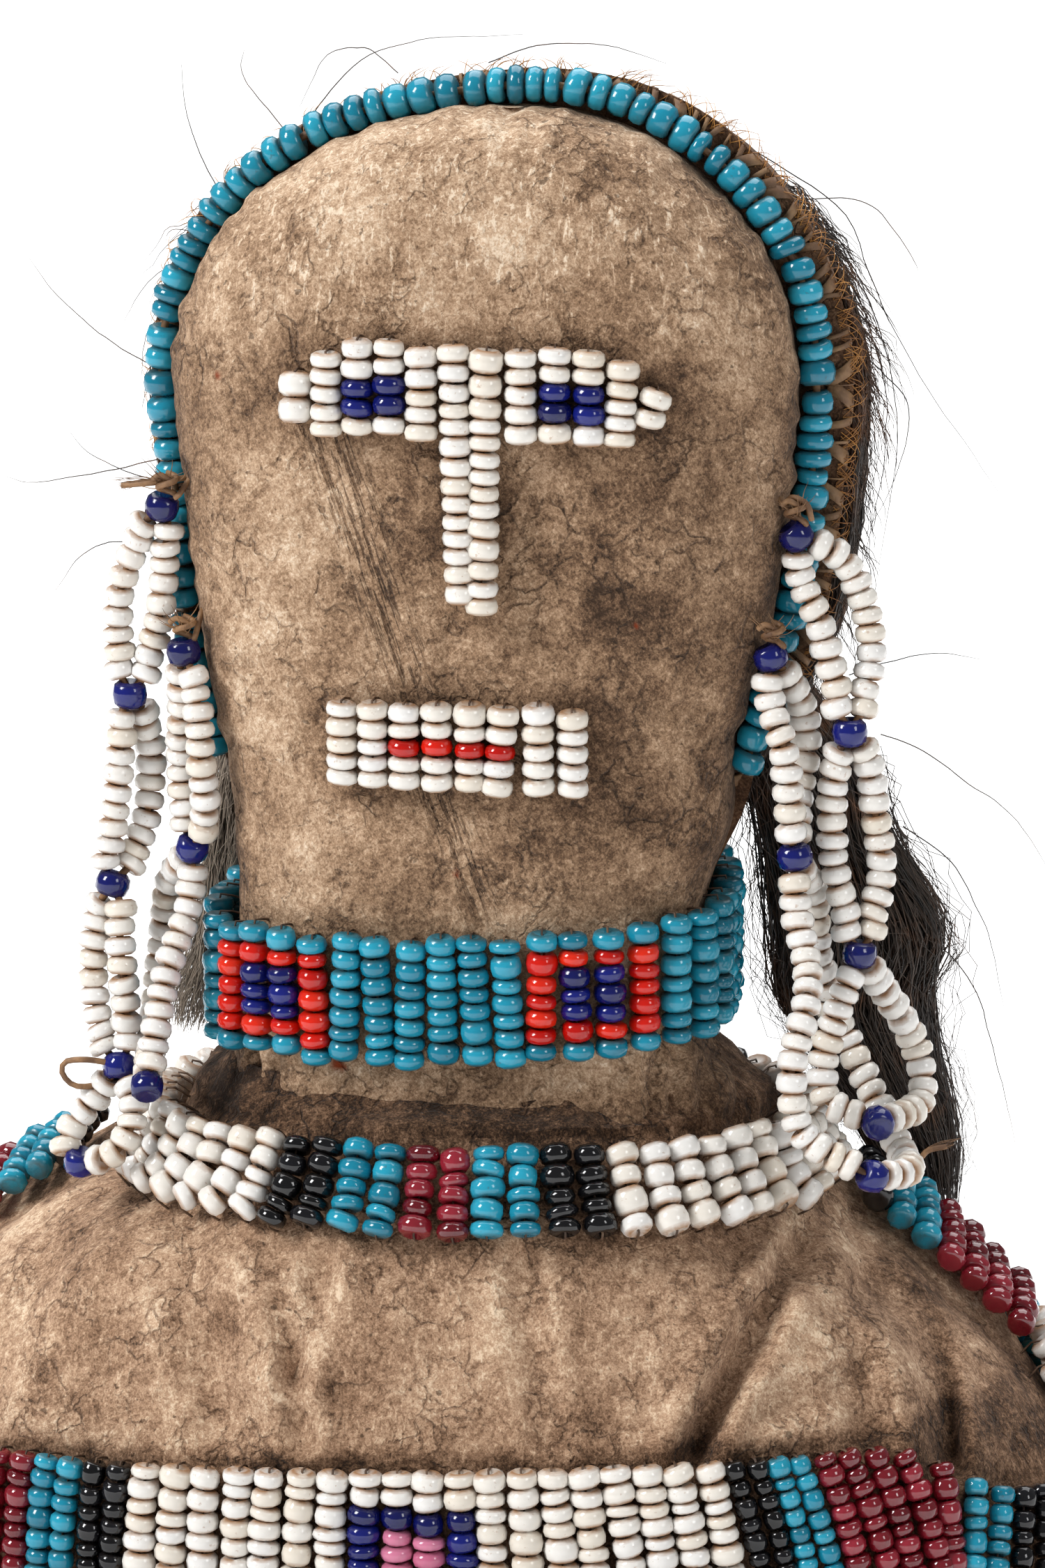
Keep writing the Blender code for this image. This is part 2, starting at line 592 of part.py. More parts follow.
STRAND_PAIRS = {
    "earring_left_outer": (-1, (
        ((-1.0, 3.0, 68.0), (1.0, 2.8, 65.5), (2.5, 2.7, 62.4), (3.2, 2.7, 59.3), (3.4, 2.8, 55.9)),
        ((-1.0, 3.0, 68.0), (-0.7, 2.8, 64.4), (0.0, 2.7, 61.6), (1.2, 2.6, 58.8), (3.4, 2.8, 55.9)),
        ((3.4, 2.8, 55.9), (4.7, 2.9, 53.0), (5.5, 3.0, 49.9), (6.3, 3.0, 46.4), (6.5, 3.0, 43.6)),
        ((3.4, 2.8, 55.9), (3.2, 1.5, 53.2), (3.6, 1.3, 50.5), (4.5, 1.7, 46.9), (6.5, 3.0, 43.6)),
        ((6.5, 3.0, 43.6), (7.7, 3.1, 40.7), (7.9, 3.3, 37.6), (7.2, 3.8, 34.5), (5.5, 4.5, 32.0)),
        ((6.5, 3.0, 43.6), (6.1, 3.8, 40.5), (5.8, 4.0, 37.8), (5.4, 4.1, 34.7), (5.5, 4.5, 32.0)),
        ((5.5, 4.5, 32.0), (6.9, 4.5, 29.9), (8.3, 4.9, 27.8), (8.5, 5.3, 26.5), (7.5, 5.7, 25.9)),
        ((5.5, 4.5, 32.0), (4.2, 5.5, 30.2), (4.1, 6.5, 28.2), (5.4, 6.7, 26.6), (7.5, 5.7, 25.9)),
    )),
    "earring_left_inner": (-1, (
        ((-1.3, 4.4, 59.0), (-0.2, 3.7, 55.9), (1.0, 2.8, 52.2), (1.3, 2.9, 49.1), (1.1, 3.0, 46.1)),
        ((-1.3, 4.4, 59.0), (-1.4, 5.2, 55.6), (-0.7, 5.0, 52.1), (-0.3, 4.2, 48.8), (1.1, 3.0, 46.1)),
        ((1.1, 3.0, 46.1), (1.5, 3.7, 42.4), (2.6, 5.3, 38.8), (2.9, 6.7, 35.2), (2.9, 8.0, 31.6)),
        ((1.1, 3.0, 46.1), (3.2, 0.9, 43.4), (4.1, 0.1, 39.3), (4.3, 0.7, 35.2), (2.9, 8.0, 31.6)),
    )),
    "earring_right_outer": (1, (
        ((1.0, 3.0, 67.1), (1.6, 3.0, 64.4), (3.1, 3.0, 61.8), (4.5, 3.0, 58.8), (6.8, 3.0, 54.8)),
        ((1.0, 3.0, 67.1), (3.8, 2.1, 65.7), (5.6, 1.7, 62.8), (6.8, 1.9, 59.1), (6.8, 3.0, 54.8)),
        ((6.8, 3.0, 54.8), (6.5, 3.0, 52.1), (6.8, 3.0, 49.0), (7.5, 3.0, 45.5), (9.3, 3.2, 40.7)),
        ((6.8, 3.0, 54.8), (8.5, 2.1, 52.5), (9.4, 1.9, 49.3), (10.2, 1.9, 45.3), (9.3, 3.2, 40.7)),
        ((9.3, 3.2, 40.7), (7.7, 4.3, 36.4), (6.9, 4.9, 33.8), (7.1, 5.3, 31.6), (10.1, 5.5, 30.4)),
        ((9.3, 3.2, 40.7), (11.7, 0.3, 35.8), (12.5, -0.1, 33.0), (12.3, 1.5, 30.7), (10.1, 5.5, 30.4)),
    )),
    "earring_right_inner": (1, (
        ((0.6, 3.5, 59.5), (1.3, 4.1, 56.9), (3.0, 4.7, 54.1), (4.1, 4.8, 50.6), (4.9, 4.7, 47.1)),
        ((0.6, 3.5, 59.5), (2.9, 2.1, 56.8), (4.1, 1.7, 54.1), (4.4, 2.3, 50.6), (4.9, 4.7, 47.1)),
        ((4.9, 4.7, 47.1), (5.4, 5.3, 43.6), (6.3, 6.3, 40.7), (6.5, 7.9, 38.4), (5.6, 9.5, 34.7),
         (5.9, 9.9, 30.6), (10.0, 9.6, 28.0)),
        ((4.9, 4.7, 47.1), (6.1, 1.6, 43.9), (6.3, 0.6, 40.5), (7.1, -0.2, 36.5), (8.6, 0.0, 32.7),
         (10.9, 2.4, 28.2), (11.9, 6.4, 27.6), (10.0, 9.6, 28.0)),
    )),
}


def strand_point(side, route_point):
    out, forward, z = route_point
    return (side * (half_width(z) + out), SEAM_Y - forward, z)


def spacer_bead(name, middle):
    """A round spacer bead of few facets."""
    bpy.ops.mesh.primitive_uv_sphere_add(segments=6, ring_count=4, radius=SPACER_WIDTH / 2 * MM,
                                         location=Vector(middle) * MM)
    bead = bpy.context.object
    bead.name = name
    return bead


def earring(name, side, pairs, finish):
    """Two strands that meet in each spacer bead, joined into one body."""
    parts, spots = [], []
    for k, route in enumerate(pairs):
        points = [strand_point(side, p) for p in route]
        path = spread(smooth_path(points), BEAD_PITCH * STRAND_BEADS_PER_CREST / 2)
        rings = string_rings(path, STRAND_WIDTH / 2, STRAND_WAIST, 4, STRAND_TWIST * (k % 2))
        parts.append(loft(f"{name}_{k}", rings, finish))
        spots += [points[0], points[-1]]
    spots = sorted(set(spots), key=lambda p: -p[2])
    for k, spot in enumerate(spots):
        parts.append(spacer_bead(f"{name}_spacer_{k}", spot))
    body = parts[0]
    body.name = name
    for k, other in enumerate(parts[1:]):
        join = body.modifiers.new(f"join_{k}", "BOOLEAN")
        join.operation = "UNION"
        join.solver = "EXACT"
        join.object = other
        other.hide_render = True
        other.display_type = "WIRE"
    return body


# Hair

def hair_back(finish):
    """Horsehair sewn along the crown, lying down the back of the head to the nape."""
    rings = []
    steps = 9
    for i in range(steps):
        rise = i / (steps - 1)
        z = HAIR_FOOT_Z + (HAIR_TOP_Z - HAIR_FOOT_Z) * rise
        full = math.sqrt(max(0.02, 1 - rise ** 4))
        inner, outer = [], []
        for k in range(steps + 1):
            across = 2 * k / steps - 1
            turn = 90 + HAIR_SPREAD * across * (1 - 0.3 * rise ** 3)
            edge = math.cos(math.pi / 2 * 0.92 * across * across)
            inner.append(back_point(z, turn, HAIR_GAP))
            outer.append(back_point(z, turn, HAIR_GAP + 0.4 + HAIR_THICKNESS * edge * full))
        rings.append(inner + outer[::-1])
    return loft("hair_back", rings, finish)


def lock(name, beside, stations, finish):
    """A hanging lock that narrows and bends from station to station."""
    behind, top = SEAM_Y + BACK_DEPTH, HAIR_FOOT_Z - 2 * CLEARANCE
    middles = smooth_path([(beside + across, behind + back, top - down)
                           for across, back, down, _ in stations], 3)
    radii = [v.x for v in smooth_path([(radius, 0, 0) for *_, radius in stations], 3)]
    turns = [2 * math.pi * k / LOCK_SIDES for k in range(LOCK_SIDES)]
    rings = [[p + Vector((math.cos(turn), LOCK_FLATNESS * math.sin(turn), 0)) * r for turn in turns]
             for p, r in zip(middles, radii)]
    return loft(name, rings, finish)


def hair(finish, pale_finish):
    hair_back(finish)
    lock("hair_lock_right", HEAD_HALF_WIDTH, LOCK_RIGHT, finish)
    across, back, radius = LOCK_LEFT_TIP
    reach = HAIR_FOOT_Z - COLLAR_Z - 3 * CLEARANCE
    lock("hair_lock_left", -(NECK_HALF_WIDTH + CLEARANCE + BEAD_WIDTH),
         LOCK_LEFT + ((across, back, reach, radius),), pale_finish)


def build():
    for item in list(bpy.data.objects):
        bpy.data.objects.remove(item)
    face_hide = material("smoked hide, pale", (0.40, 0.29, 0.19), 0.9)
    dark_hide = material("smoked hide, dark", (0.22, 0.14, 0.08), 0.9)
    dress_hide = material("smoked hide, dress", (0.29, 0.19, 0.11), 0.9)
    turquoise = material("turquoise glass beads", (0.04, 0.36, 0.47), 0.2)
    white = material("white glass beads", (0.80, 0.76, 0.72), 0.25)
    burgundy = material("burgundy glass beads", (0.25, 0.02, 0.04), 0.1)
    horsehair = material("horsehair", (0.02, 0.013, 0.01), 0.5)
    grey_hair = material("dusty grey hair", (0.35, 0.31, 0.27), 0.7)
    head_front(face_hide)
    head_back(dark_hide)
    edge_bead_string(turquoise)
    face_beads(white)
    choker_beads(turquoise)
    dress_yoke(dress_hide)
    neckline_lane(white)
    chest_lane(white)
    shoulder_lane("shoulder_lane_right", 1, burgundy)
    shoulder_lane("shoulder_lane_left", -1, burgundy)
    for name, (side, pairs) in STRAND_PAIRS.items():
        earring(name, side, pairs, white)
    hair(horsehair, grey_hair)


build()
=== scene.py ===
"""Beaded hide doll, cut to a bust: its looks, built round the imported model, which is the frame."""
import math
import random

import bmesh
import bpy
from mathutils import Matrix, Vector, noise


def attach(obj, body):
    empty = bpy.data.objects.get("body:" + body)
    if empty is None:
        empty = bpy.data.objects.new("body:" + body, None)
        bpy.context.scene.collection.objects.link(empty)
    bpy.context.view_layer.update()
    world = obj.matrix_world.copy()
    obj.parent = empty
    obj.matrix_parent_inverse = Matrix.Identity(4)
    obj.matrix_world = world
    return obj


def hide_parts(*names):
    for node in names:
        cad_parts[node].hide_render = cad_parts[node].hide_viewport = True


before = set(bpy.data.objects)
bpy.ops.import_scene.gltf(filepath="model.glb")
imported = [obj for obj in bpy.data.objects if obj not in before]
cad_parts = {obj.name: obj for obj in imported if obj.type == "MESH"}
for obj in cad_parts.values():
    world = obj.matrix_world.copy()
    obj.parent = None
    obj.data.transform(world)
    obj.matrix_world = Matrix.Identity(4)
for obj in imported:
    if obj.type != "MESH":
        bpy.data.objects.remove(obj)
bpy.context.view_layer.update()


# Face and neck: one pale piece of smoked, brain-tanned hide, sewn over stuffing and turned in at the
# seam. Its nap is matt and mottled, with pale scratches on the forehead and creases by the nose.
# All lengths are millimetres until a mesh is made. The doll looks along -Y.

MM = 0.001
BEAD_WIDTH = 2.0
CLEARANCE = 0.3
HEAD_HALF_WIDTH = 20.9
HEAD_WIDEST_Z = 75.3
HEAD_TOP_Z = 94.6
HEAD_ARCH_POWER = 2.2
CHEEK_Z, CHEEK_HALF_WIDTH = 61.0, 19.3
JAW_Z, JAW_HALF_WIDTH = 51.5, 17.0
CHOKER_Z, NECK_HALF_WIDTH = 39.2, 14.7
NECK_FOOT_Z, NECK_FOOT_HALF_WIDTH = 28.3, 15.6
SEAM_Y = -5.5
FACE_WALL = 1.0
FACE_DEPTH = 7.8
FACE_DOME_POWER = 2.6
BACK_GAP = 1.4
HIDE_INSET = -(BEAD_WIDTH / 2 + CLEARANCE)


def clamp(value):
    """A value held between 0 and 1."""
    return min(1.0, max(0.0, value))


def bell(value):
    """1 at zero, falling off softly to both sides."""
    return math.exp(-value ** 2)


def eased(share):
    """A share held between 0 and 1, with a soft start and a soft end."""
    share = clamp(share)
    return share * share * (3 - 2 * share)


def along(stations, at):
    """Smooth value at a height from a few (height, value) pairs, held past both ends."""
    if at <= stations[0][0]:
        return stations[0][1]
    if at >= stations[-1][0]:
        return stations[-1][1]
    last = len(stations) - 1
    k = max(i for i in range(last) if stations[i][0] <= at)

    def slope(i):
        low, high = max(i - 1, 0), min(i + 1, last)
        return (stations[high][1] - stations[low][1]) / (stations[high][0] - stations[low][0])

    (z0, v0), (z1, v1) = stations[k], stations[k + 1]
    span = z1 - z0
    t = (at - z0) / span
    return ((2 * t**3 - 3 * t**2 + 1) * v0 + (t**3 - 2 * t**2 + t) * span * slope(k)
            + (3 * t**2 - 2 * t**3) * v1 + (t**3 - t**2) * span * slope(k + 1))


def half_width(z, grow=0.0, rise=None):
    """Half the head's width at a height, grown outwards from the middle of the edge string."""
    rise = grow if rise is None else rise
    if z >= HEAD_WIDEST_Z:
        share = (z - HEAD_WIDEST_Z) / (HEAD_TOP_Z + rise - HEAD_WIDEST_Z)
        return (HEAD_HALF_WIDTH + grow) * math.sqrt(max(0.0, 1 - share ** HEAD_ARCH_POWER))
    stations = ((NECK_FOOT_Z, NECK_FOOT_HALF_WIDTH - HIDE_INSET), (CHOKER_Z, NECK_HALF_WIDTH - HIDE_INSET),
                (JAW_Z, JAW_HALF_WIDTH), (CHEEK_Z, CHEEK_HALF_WIDTH), (HEAD_WIDEST_Z, HEAD_HALF_WIDTH))
    return along(stations, z) + grow


LEAN_FOOT_Z, LEAN_HEIGHT = 40.0, 28.0
HEAD_SHIFT, CROWN_SHIFT = 1.2, 2.2


def lean(z):
    """Sideways shift of the head over the neck, and of the crown over the head."""
    crown = max(0.0, (z - HEAD_WIDEST_Z) / (HEAD_TOP_Z - HEAD_WIDEST_Z))
    return HEAD_SHIFT * eased((z - LEAN_FOOT_Z) / LEAN_HEIGHT) + CROWN_SHIFT * crown ** 5


def jaw_fullness(z):
    """The hide bulges out over the choker at the viewer's right, and again where the collar grips it."""
    return 1.15 * bell((z - 48.5) / 3.8) + 1.7 * bell((z - 30.5) / 2.8)


def face_depth(z):
    share = max(0.0, (z - HEAD_WIDEST_Z) / (HEAD_TOP_Z + HIDE_INSET - HEAD_WIDEST_Z))
    stations = ((NECK_FOOT_Z, 0.94), (CHOKER_Z, 0.9), (JAW_Z, 0.97), (CHEEK_Z, 1.0))
    return FACE_DEPTH * along(stations, z) * math.sqrt(max(0.0, 1 - share ** (FACE_DOME_POWER + 1)))


def face_y(x, z, proud=0.0):
    """Front surface of the face and neck, or a point that stands proud of it."""
    share = min(1.0, abs(x - lean(z)) / max(half_width(z, HIDE_INSET), 0.01))
    return SEAM_Y - FACE_WALL - face_depth(z) * math.sqrt(1 - share ** FACE_DOME_POWER) - proud


def linear(code):
    """An sRGB hex colour as the linear values that shaders take."""
    parts = [int(code[k:k + 2], 16) / 255 for k in (1, 3, 5)]
    return tuple(c / 12.92 if c <= 0.04045 else ((c + 0.055) / 1.055) ** 2.4 for c in parts) + (1.0,)


def plug(tree, node, sockets):
    """Sets inputs, by name or number, to values or to other nodes' outputs."""
    for key, value in sockets.items():
        if isinstance(value, bpy.types.NodeSocket):
            tree.links.new(value, node.inputs[key])
        else:
            node.inputs[key].default_value = value


def add(tree, kind, sockets=None, **settings):
    node = tree.nodes.new(kind)
    for key, value in settings.items():
        setattr(node, key, value)
    plug(tree, node, sockets or {})
    return node


def first(tree, kind, sockets=None, **settings):
    """The first output of a new node."""
    return add(tree, kind, sockets, **settings).outputs[0]


def number(tree, operation, *values, **settings):
    return first(tree, "ShaderNodeMath", dict(enumerate(values)), operation=operation, **settings)


def vector(tree, operation, *values, **scale):
    return first(tree, "ShaderNodeVectorMath", {**dict(enumerate(values)), **scale}, operation=operation)


def product(tree, a, b):
    return number(tree, "MULTIPLY", a, b)


def weighed(tree, total, value, weight, middle=0.5):
    """A running total with one more value in it, counted from its middle."""
    return number(tree, "MULTIPLY_ADD", value, weight, number(tree, "SUBTRACT", total, weight * middle))


def marked(tree, label):
    """The value that the mesh carries under a name."""
    return add(tree, "ShaderNodeAttribute", attribute_name=label).outputs["Fac"]


def new_material(name):
    """A material with an empty Principled shader, its node tree, and its place in millimetres."""
    made = bpy.data.materials.new(name)
    made.use_nodes = True
    tree = made.node_tree
    in_mm = vector(tree, "SCALE", add(tree, "ShaderNodeTexCoord").outputs["Object"], Scale=1 / MM)
    return made, tree, tree.nodes["Principled BSDF"], in_mm


def cloud(tree, where, size, detail=4.0, rough=0.6, stretch=(1, 1, 1), turn=(0, 0, 0), distortion=0.0):
    """Noise with lumps of a size in mm, drawn out by stretch along turned axes, as a value round 0.5."""
    laid = first(tree, "ShaderNodeMapping", {"Vector": where, "Rotation": turn, "Scale": stretch},
               vector_type="TEXTURE")
    return first(tree, "ShaderNodeTexNoise", {"Vector": laid, "Scale": 1 / size, "Detail": detail,
                                            "Roughness": rough, "Distortion": distortion})


def blotches(tree, where, size, low, high, *shape):
    """The same noise, with its values between low and high pulled out to 0 and 1."""
    return first(tree, "ShaderNodeMapRange", {0: cloud(tree, where, size, *shape), 1: low, 2: high},
               interpolation_type="SMOOTHSTEP")


def mixed(tree, share, a, b, **settings):
    """Two colours mixed; each is a hex code or a node's output."""
    a, b = (linear(c) if isinstance(c, str) else c for c in (a, b))
    return add(tree, "ShaderNodeMix", {0: share, 6: a, 7: b}, data_type="RGBA", **settings).outputs[2]


def shaded(tree, value, shades, low=0.0, high=1.0):
    """A value turned into shades, spread evenly between low and high."""
    ramp = add(tree, "ShaderNodeValToRGB", {"Fac": value})
    stops, last = ramp.color_ramp.elements, len(shades) - 1
    for k, shade in enumerate(shades):
        at = low + (high - low) * k / last
        stop = stops.new(at) if 0 < k < last else stops[0 if k == 0 else -1]
        stop.position, stop.color = at, linear(shade)
    return ramp.outputs["Color"]


def bumped(tree, height, deep, strength, under=None):
    """Bumps of a depth in mm, hollows where it is negative, over the bumps that are there already."""
    sockets = {"Strength": strength, "Distance": abs(deep) * MM, "Height": height}
    if under:
        sockets["Normal"] = under
    return first(tree, "ShaderNodeBump", sockets, invert=deep < 0)


def smoked_hide(name, shades, balance=0.5):
    """Brain-tanned, smoke-cured hide: no shine, a short felted nap, rubbed pale; a mark adds handling dirt with
    painted light and shade, and creases and wrinkles get painted shade.
    """
    made, tree, shader, mm = new_material(name)
    lumps = cloud(tree, mm, 6.5, 5.0, 0.6)
    patches = cloud(tree, mm, 2.4, 4.0, 0.62, (1, 1, 1.2), (0.3, 0.4, 0.2), 0.6)
    crumbs = cloud(tree, mm, 0.5, 5.0, 0.78, (1, 1, 1), (0.7, 0.1, 0.4), 0.4)
    fibres = cloud(tree, mm, 0.16, 2.0, 0.6, (0.8, 0.8, 1.7), (0.2, -0.5, 0.0), 0.6)
    crossing = cloud(tree, mm, 0.16, 2.0, 0.6, (0.8, 0.8, 1.6), (0.5, 0.9, 0.3), 0.6)
    lines = blotches(tree, mm, 0.24, 0.5, 0.62, 3.0, 0.6, (1, 1, 16), (0, -0.34, 0), 0.2)
    scratches = blotches(tree, mm, 0.4, 0.54, 0.7, 4.0, 0.65, (1, 1, 6), (0, 0.05, 0), 0.5)
    specks = blotches(tree, mm, 0.8, 0.665, 0.7, 3.0, 0.6, (1, 1, 1), (0.9, 0.2, 0.1))

    # Fine wrinkles are the edges of warped cells about 2 mm wide, deep in some places only
    wander = add(tree, "ShaderNodeTexNoise", {"Vector": mm, "Scale": 0.45, "Detail": 4.0}).outputs["Color"]
    warped = vector(tree, "MULTIPLY_ADD", wander, (5, 5, 5), mm)
    cells = first(tree, "ShaderNodeTexVoronoi", {"Vector": warped, "Scale": 0.42}, feature="DISTANCE_TO_EDGE")
    edges = first(tree, "ShaderNodeMapRange", {0: cells, 1: 0.0, 2: 0.09, 3: 1.0, 4: 0.0})
    wrinkles = product(tree, edges, blotches(tree, mm, 4.0, 0.42, 0.6, 2.0))
    creases = product(tree, marked(tree, "creased"), lines)
    rubbed = product(tree, marked(tree, "rubbed"), scratches)
    total = balance
    for value, weight in ((lumps, 1.0), (patches, 0.62), (crumbs, 1.1), (fibres, 0.6), (crossing, 0.55)):
        total = weighed(tree, total, value, weight)
    # Painted light and shade: the mark read here holds painted shade in hollows, folds and round beads, and
    # painted light where it is negative, with real handling dirt. Creases and wrinkles are darkened as painted
    # shade in their hollows.
    dirt_and_shade = marked(tree, "dirt_and_shade")
    for value, weight in ((dirt_and_shade, -0.42), (creases, -0.3), (wrinkles, -0.16), (rubbed, 0.42)):
        total = weighed(tree, total, value, weight, 0.0)
    colour = mixed(tree, product(tree, specks, 0.6), shaded(tree, total, shades, 0.02, 0.98), shades[0])
    normal = None
    for height, deep in ((fibres, 0.03), (crossing, 0.03), (crumbs, 0.16), (patches, 0.5), (wrinkles, -0.14),
                         (creases, -0.18)):
        normal = bumped(tree, height, deep, 0.9, normal)
    plug(tree, shader, {"Base Color": mixed(tree, marked(tree, "rust"), colour, "#7E3418"), "Normal": normal,
                        "Roughness": 0.95, "Specular IOR Level": 0.15, "Sheen Weight": 0.06,
                        "Sheen Roughness": 0.5})
    return made


def away_from(route, x, z):
    """Distance of a point from a route of chosen (x, z) points."""
    best = 1e9
    for (x0, z0), (x1, z1) in zip(route, route[1:]):
        run = Vector((x1 - x0, z1 - z0))
        t = clamp(Vector((x - x0, z - z0)).dot(run) / run.length_squared)
        best = min(best, math.hypot(x - x0 - run.x * t, z - z0 - run.y * t))
    return best


def placed(name, data):
    """A new object in the scene."""
    thing = bpy.data.objects.new(name, data)
    bpy.context.collection.objects.link(thing)
    return thing


def skin(name, rings, finish, relief, marks):
    """A closed skin over rings of equally many points, pushed along its normals by relief(point).

    marks maps an attribute's name to a function of the point, which the hide's material reads.
    """
    count = len(rings[0])
    shape = bmesh.new()
    spots = [[shape.verts.new(p) for p in ring] for ring in rings]
    for a, b in zip(spots, spots[1:]):
        for j in range(count):
            k = (j + 1) % count
            shape.faces.new((a[j], a[k], b[k], b[j]))
    shape.faces.new(spots[0])
    shape.faces.new(spots[-1])
    bmesh.ops.recalc_face_normals(shape, faces=shape.faces)
    shape.normal_update()
    moves = [v.normal * relief(v.co) for v in shape.verts]
    for v, move in zip(shape.verts, moves):
        v.co += move
    bmesh.ops.triangulate(shape, faces=[f for f in shape.faces if len(f.verts) > 4])
    mesh = bpy.data.meshes.new(name)
    shape.to_mesh(mesh)
    shape.free()
    for label, mark in marks.items():
        layer = mesh.attributes.new(label, "FLOAT", "POINT")
        layer.data.foreach_set("value", [mark(v.co) for v in mesh.vertices])
    for v in mesh.vertices:
        v.co *= MM
    mesh.shade_smooth()
    mesh.set_sharp_from_angle(angle=math.radians(55))
    mesh.materials.append(finish)
    return placed(name, mesh)


def settle(piece, slot, *nodes):
    """The piece rides on the one body and stands for its nodes; slot is not used."""
    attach(piece, "root")
    if nodes:
        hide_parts(*nodes)


# Creases by the nose, below the mouth and beside it: route in (x, z), depth and width
FACE_CREASES = (
    (((-8.3, 74.6), (-6.0, 68.1), (-4.5, 63.1), (-3.0, 60.1), (-1.9, 56.8)), 0.10, 0.5),
    (((-6.9, 73.2), (-4.9, 67.6), (-3.6, 62.4), (-2.0, 58.6)), 0.07, 0.35),
    (((-3.0, 54.5), (0.3, 49.3), (2.0, 44.5)), 0.10, 0.5),
    (((0.3, 62.2), (-0.1, 60.4), (0.0, 58.9)), 0.16, 0.25),
    (((11.4, 57.1), (13.4, 56.7), (15.5, 56.4)), 0.22, 0.4),
    (((12.9, 58.2), (13.4, 56.2), (13.1, 54.8)), 0.16, 0.35),
    (((-12.0, 28.3), (-11.8, 33.5), (-12.4, 36.5)), 0.85, 0.5),
    (((-13.6, 28.3), (-13.3, 32.5), (-13.7, 36.5)), 0.8, 0.45),
    (((12.9, 28.3), (12.8, 32.5), (13.4, 36.0)), 0.8, 0.5),
    (((14.2, 28.3), (14.0, 33.5), (14.6, 37.0)), 0.6, 0.4),
    (((-6.0, 30.0), (1.5, 31.2), (9.0, 33.3)), 0.15, 0.8),
)
FACE_COLUMNS = 230


def lumpy(p, *layers):
    """Noise in layers, each a height and the size of its lumps."""
    return sum(height * noise.noise(p / size) for height, size in layers)


CROWN_FROM_Z, CROWN_EDGE_Z = 88.0, 91.9
HEAD_MIDDLE_X, HEAD_MIDDLE_Z, HEAD_RADIUS = 1.2, 70.0, 21.0


def face_relief(p):
    fade = clamp(-p.y - 4.6) * clamp((p.z - NECK_FOOT_Z) / 1.5)
    push = lumpy(p, (0.3, 7.5), (0.14, 2.4), (0.07, 1.0), (0.04, 0.5))
    for route, depth, width in FACE_CREASES:
        push -= depth * bell(away_from(route, p.x, p.z) / width)
    beside = half_width(p.z, HIDE_INSET) - abs(p.x - lean(p.z))
    edge = beside if p.z < CROWN_FROM_Z else CROWN_EDGE_Z - p.z
    inside = max(0.0, edge)
    around = math.atan2(p.z - HEAD_MIDDLE_Z, p.x - HEAD_MIDDLE_X) * HEAD_RADIUS

    # The hide is puckered and swells along the seam, and hangs in pleats below the choker at the right
    puckers = noise.noise(Vector((around * 0.75, 0, edge * 0.2))) * math.exp(-inside / 3.0)
    push += clamp((p.z - 50) / 3) * (0.36 * puckers + 0.22 * bell(inside / 1.8))
    pleats = clamp((p.x - 6) / 5) * clamp((37 - p.z) / 3)
    push += 0.6 * pleats * noise.noise(Vector((p.x * 0.9, 3, p.z / 9)))
    return push * fade


def near_creases(p):
    return bell(min(away_from(r, p.x, p.z) for r, _, _ in FACE_CREASES[:3]) / 1.25)


def rubbed_crown(p):
    return min(1.0, max(0.12, (p.z - 76.0) / 9.0))


def patch(p, x, z, wide, high):
    """A soft-edged patch on the front, 1 in its middle."""
    return math.exp(-((p.x - x) / wide) ** 2 - ((p.z - z) / high) ** 2)


# Painted light and shade on the front, with some darker handling, as weight, x, z, half width and half height:
# positive weights paint shade on the right cheek, the chin and below the eyes, negative ones paint light on the
# forehead and left cheek. Rows of beads with the reach of the painted shade round them
LIGHT_SHADE_AND_HANDLING = ((0.62, 12, 60, 8.5, 11), (0.2, 3, 47, 14, 5), (0.25, -1, 70, 5, 4), (0.3, 12, 74, 8, 5),
           (-0.3, -3, 87, 12, 6), (-0.2, -13, 62, 4, 10))
BEAD_ROWS = ((((-9.6, 76.6), (13.6, 76.2)), 3.6), (((1.7, 76.0), (1.7, 63.6)), 2.5),
             (((-6.0, 54.3), (8.0, 54.1)), 3.7))


# Painted shade beside the bead string, round the bead rows and below the choker, with the painted light and shade
# of the patches above, as one mark
def face_dirt_and_shade(p):
    edge = half_width(min(p.z, 90.0), HIDE_INSET) - abs(p.x - lean(p.z))
    shade_by_string = 0.5 * math.exp(-max(0.0, edge) / 0.8)
    # Painted light and shade of the patches, with some darker handling
    handled = sum(weight * patch(p, *place) for weight, *place in LIGHT_SHADE_AND_HANDLING)
    shade_under_beads = 0.4 * max(math.exp(-(away_from(row, p.x, p.z) / reach) ** 6) for row, reach in BEAD_ROWS)
    shade_below_choker = 0.25 * max(0.0, 1 - abs(p.z - 30.5) / 2.5)
    return handled + shade_below_choker + max(shade_by_string, shade_under_beads)


# Rust specks as x, z and size
RUST_SPECKS = ((-7.3, 33.4, 0.42), (-6.9, 33.2, 0.25), (-14.9, 76.7, 0.22), (0.5, 46.1, 0.2),
               (11.7, 62.0, 0.16))


def rust_on_face(p):
    if p.y > SEAM_Y - 2:
        return 0.0
    return min(1.0, sum(bell(((p.x - x) ** 2 + (p.z - z) ** 2) / size ** 2) for x, z, size in RUST_SPECKS))


def head_levels(rise, step, crown_steps):
    span = HEAD_TOP_Z + rise - HEAD_WIDEST_Z
    low = round((HEAD_WIDEST_Z - NECK_FOOT_Z) / step)
    return ([NECK_FOOT_Z + (HEAD_WIDEST_Z - NECK_FOOT_Z) * k / low for k in range(low)]
            + [HEAD_WIDEST_Z + span * math.sin(math.pi / 2 * k / crown_steps) for k in range(crown_steps)]
            + [HEAD_WIDEST_Z + span * 0.9996])


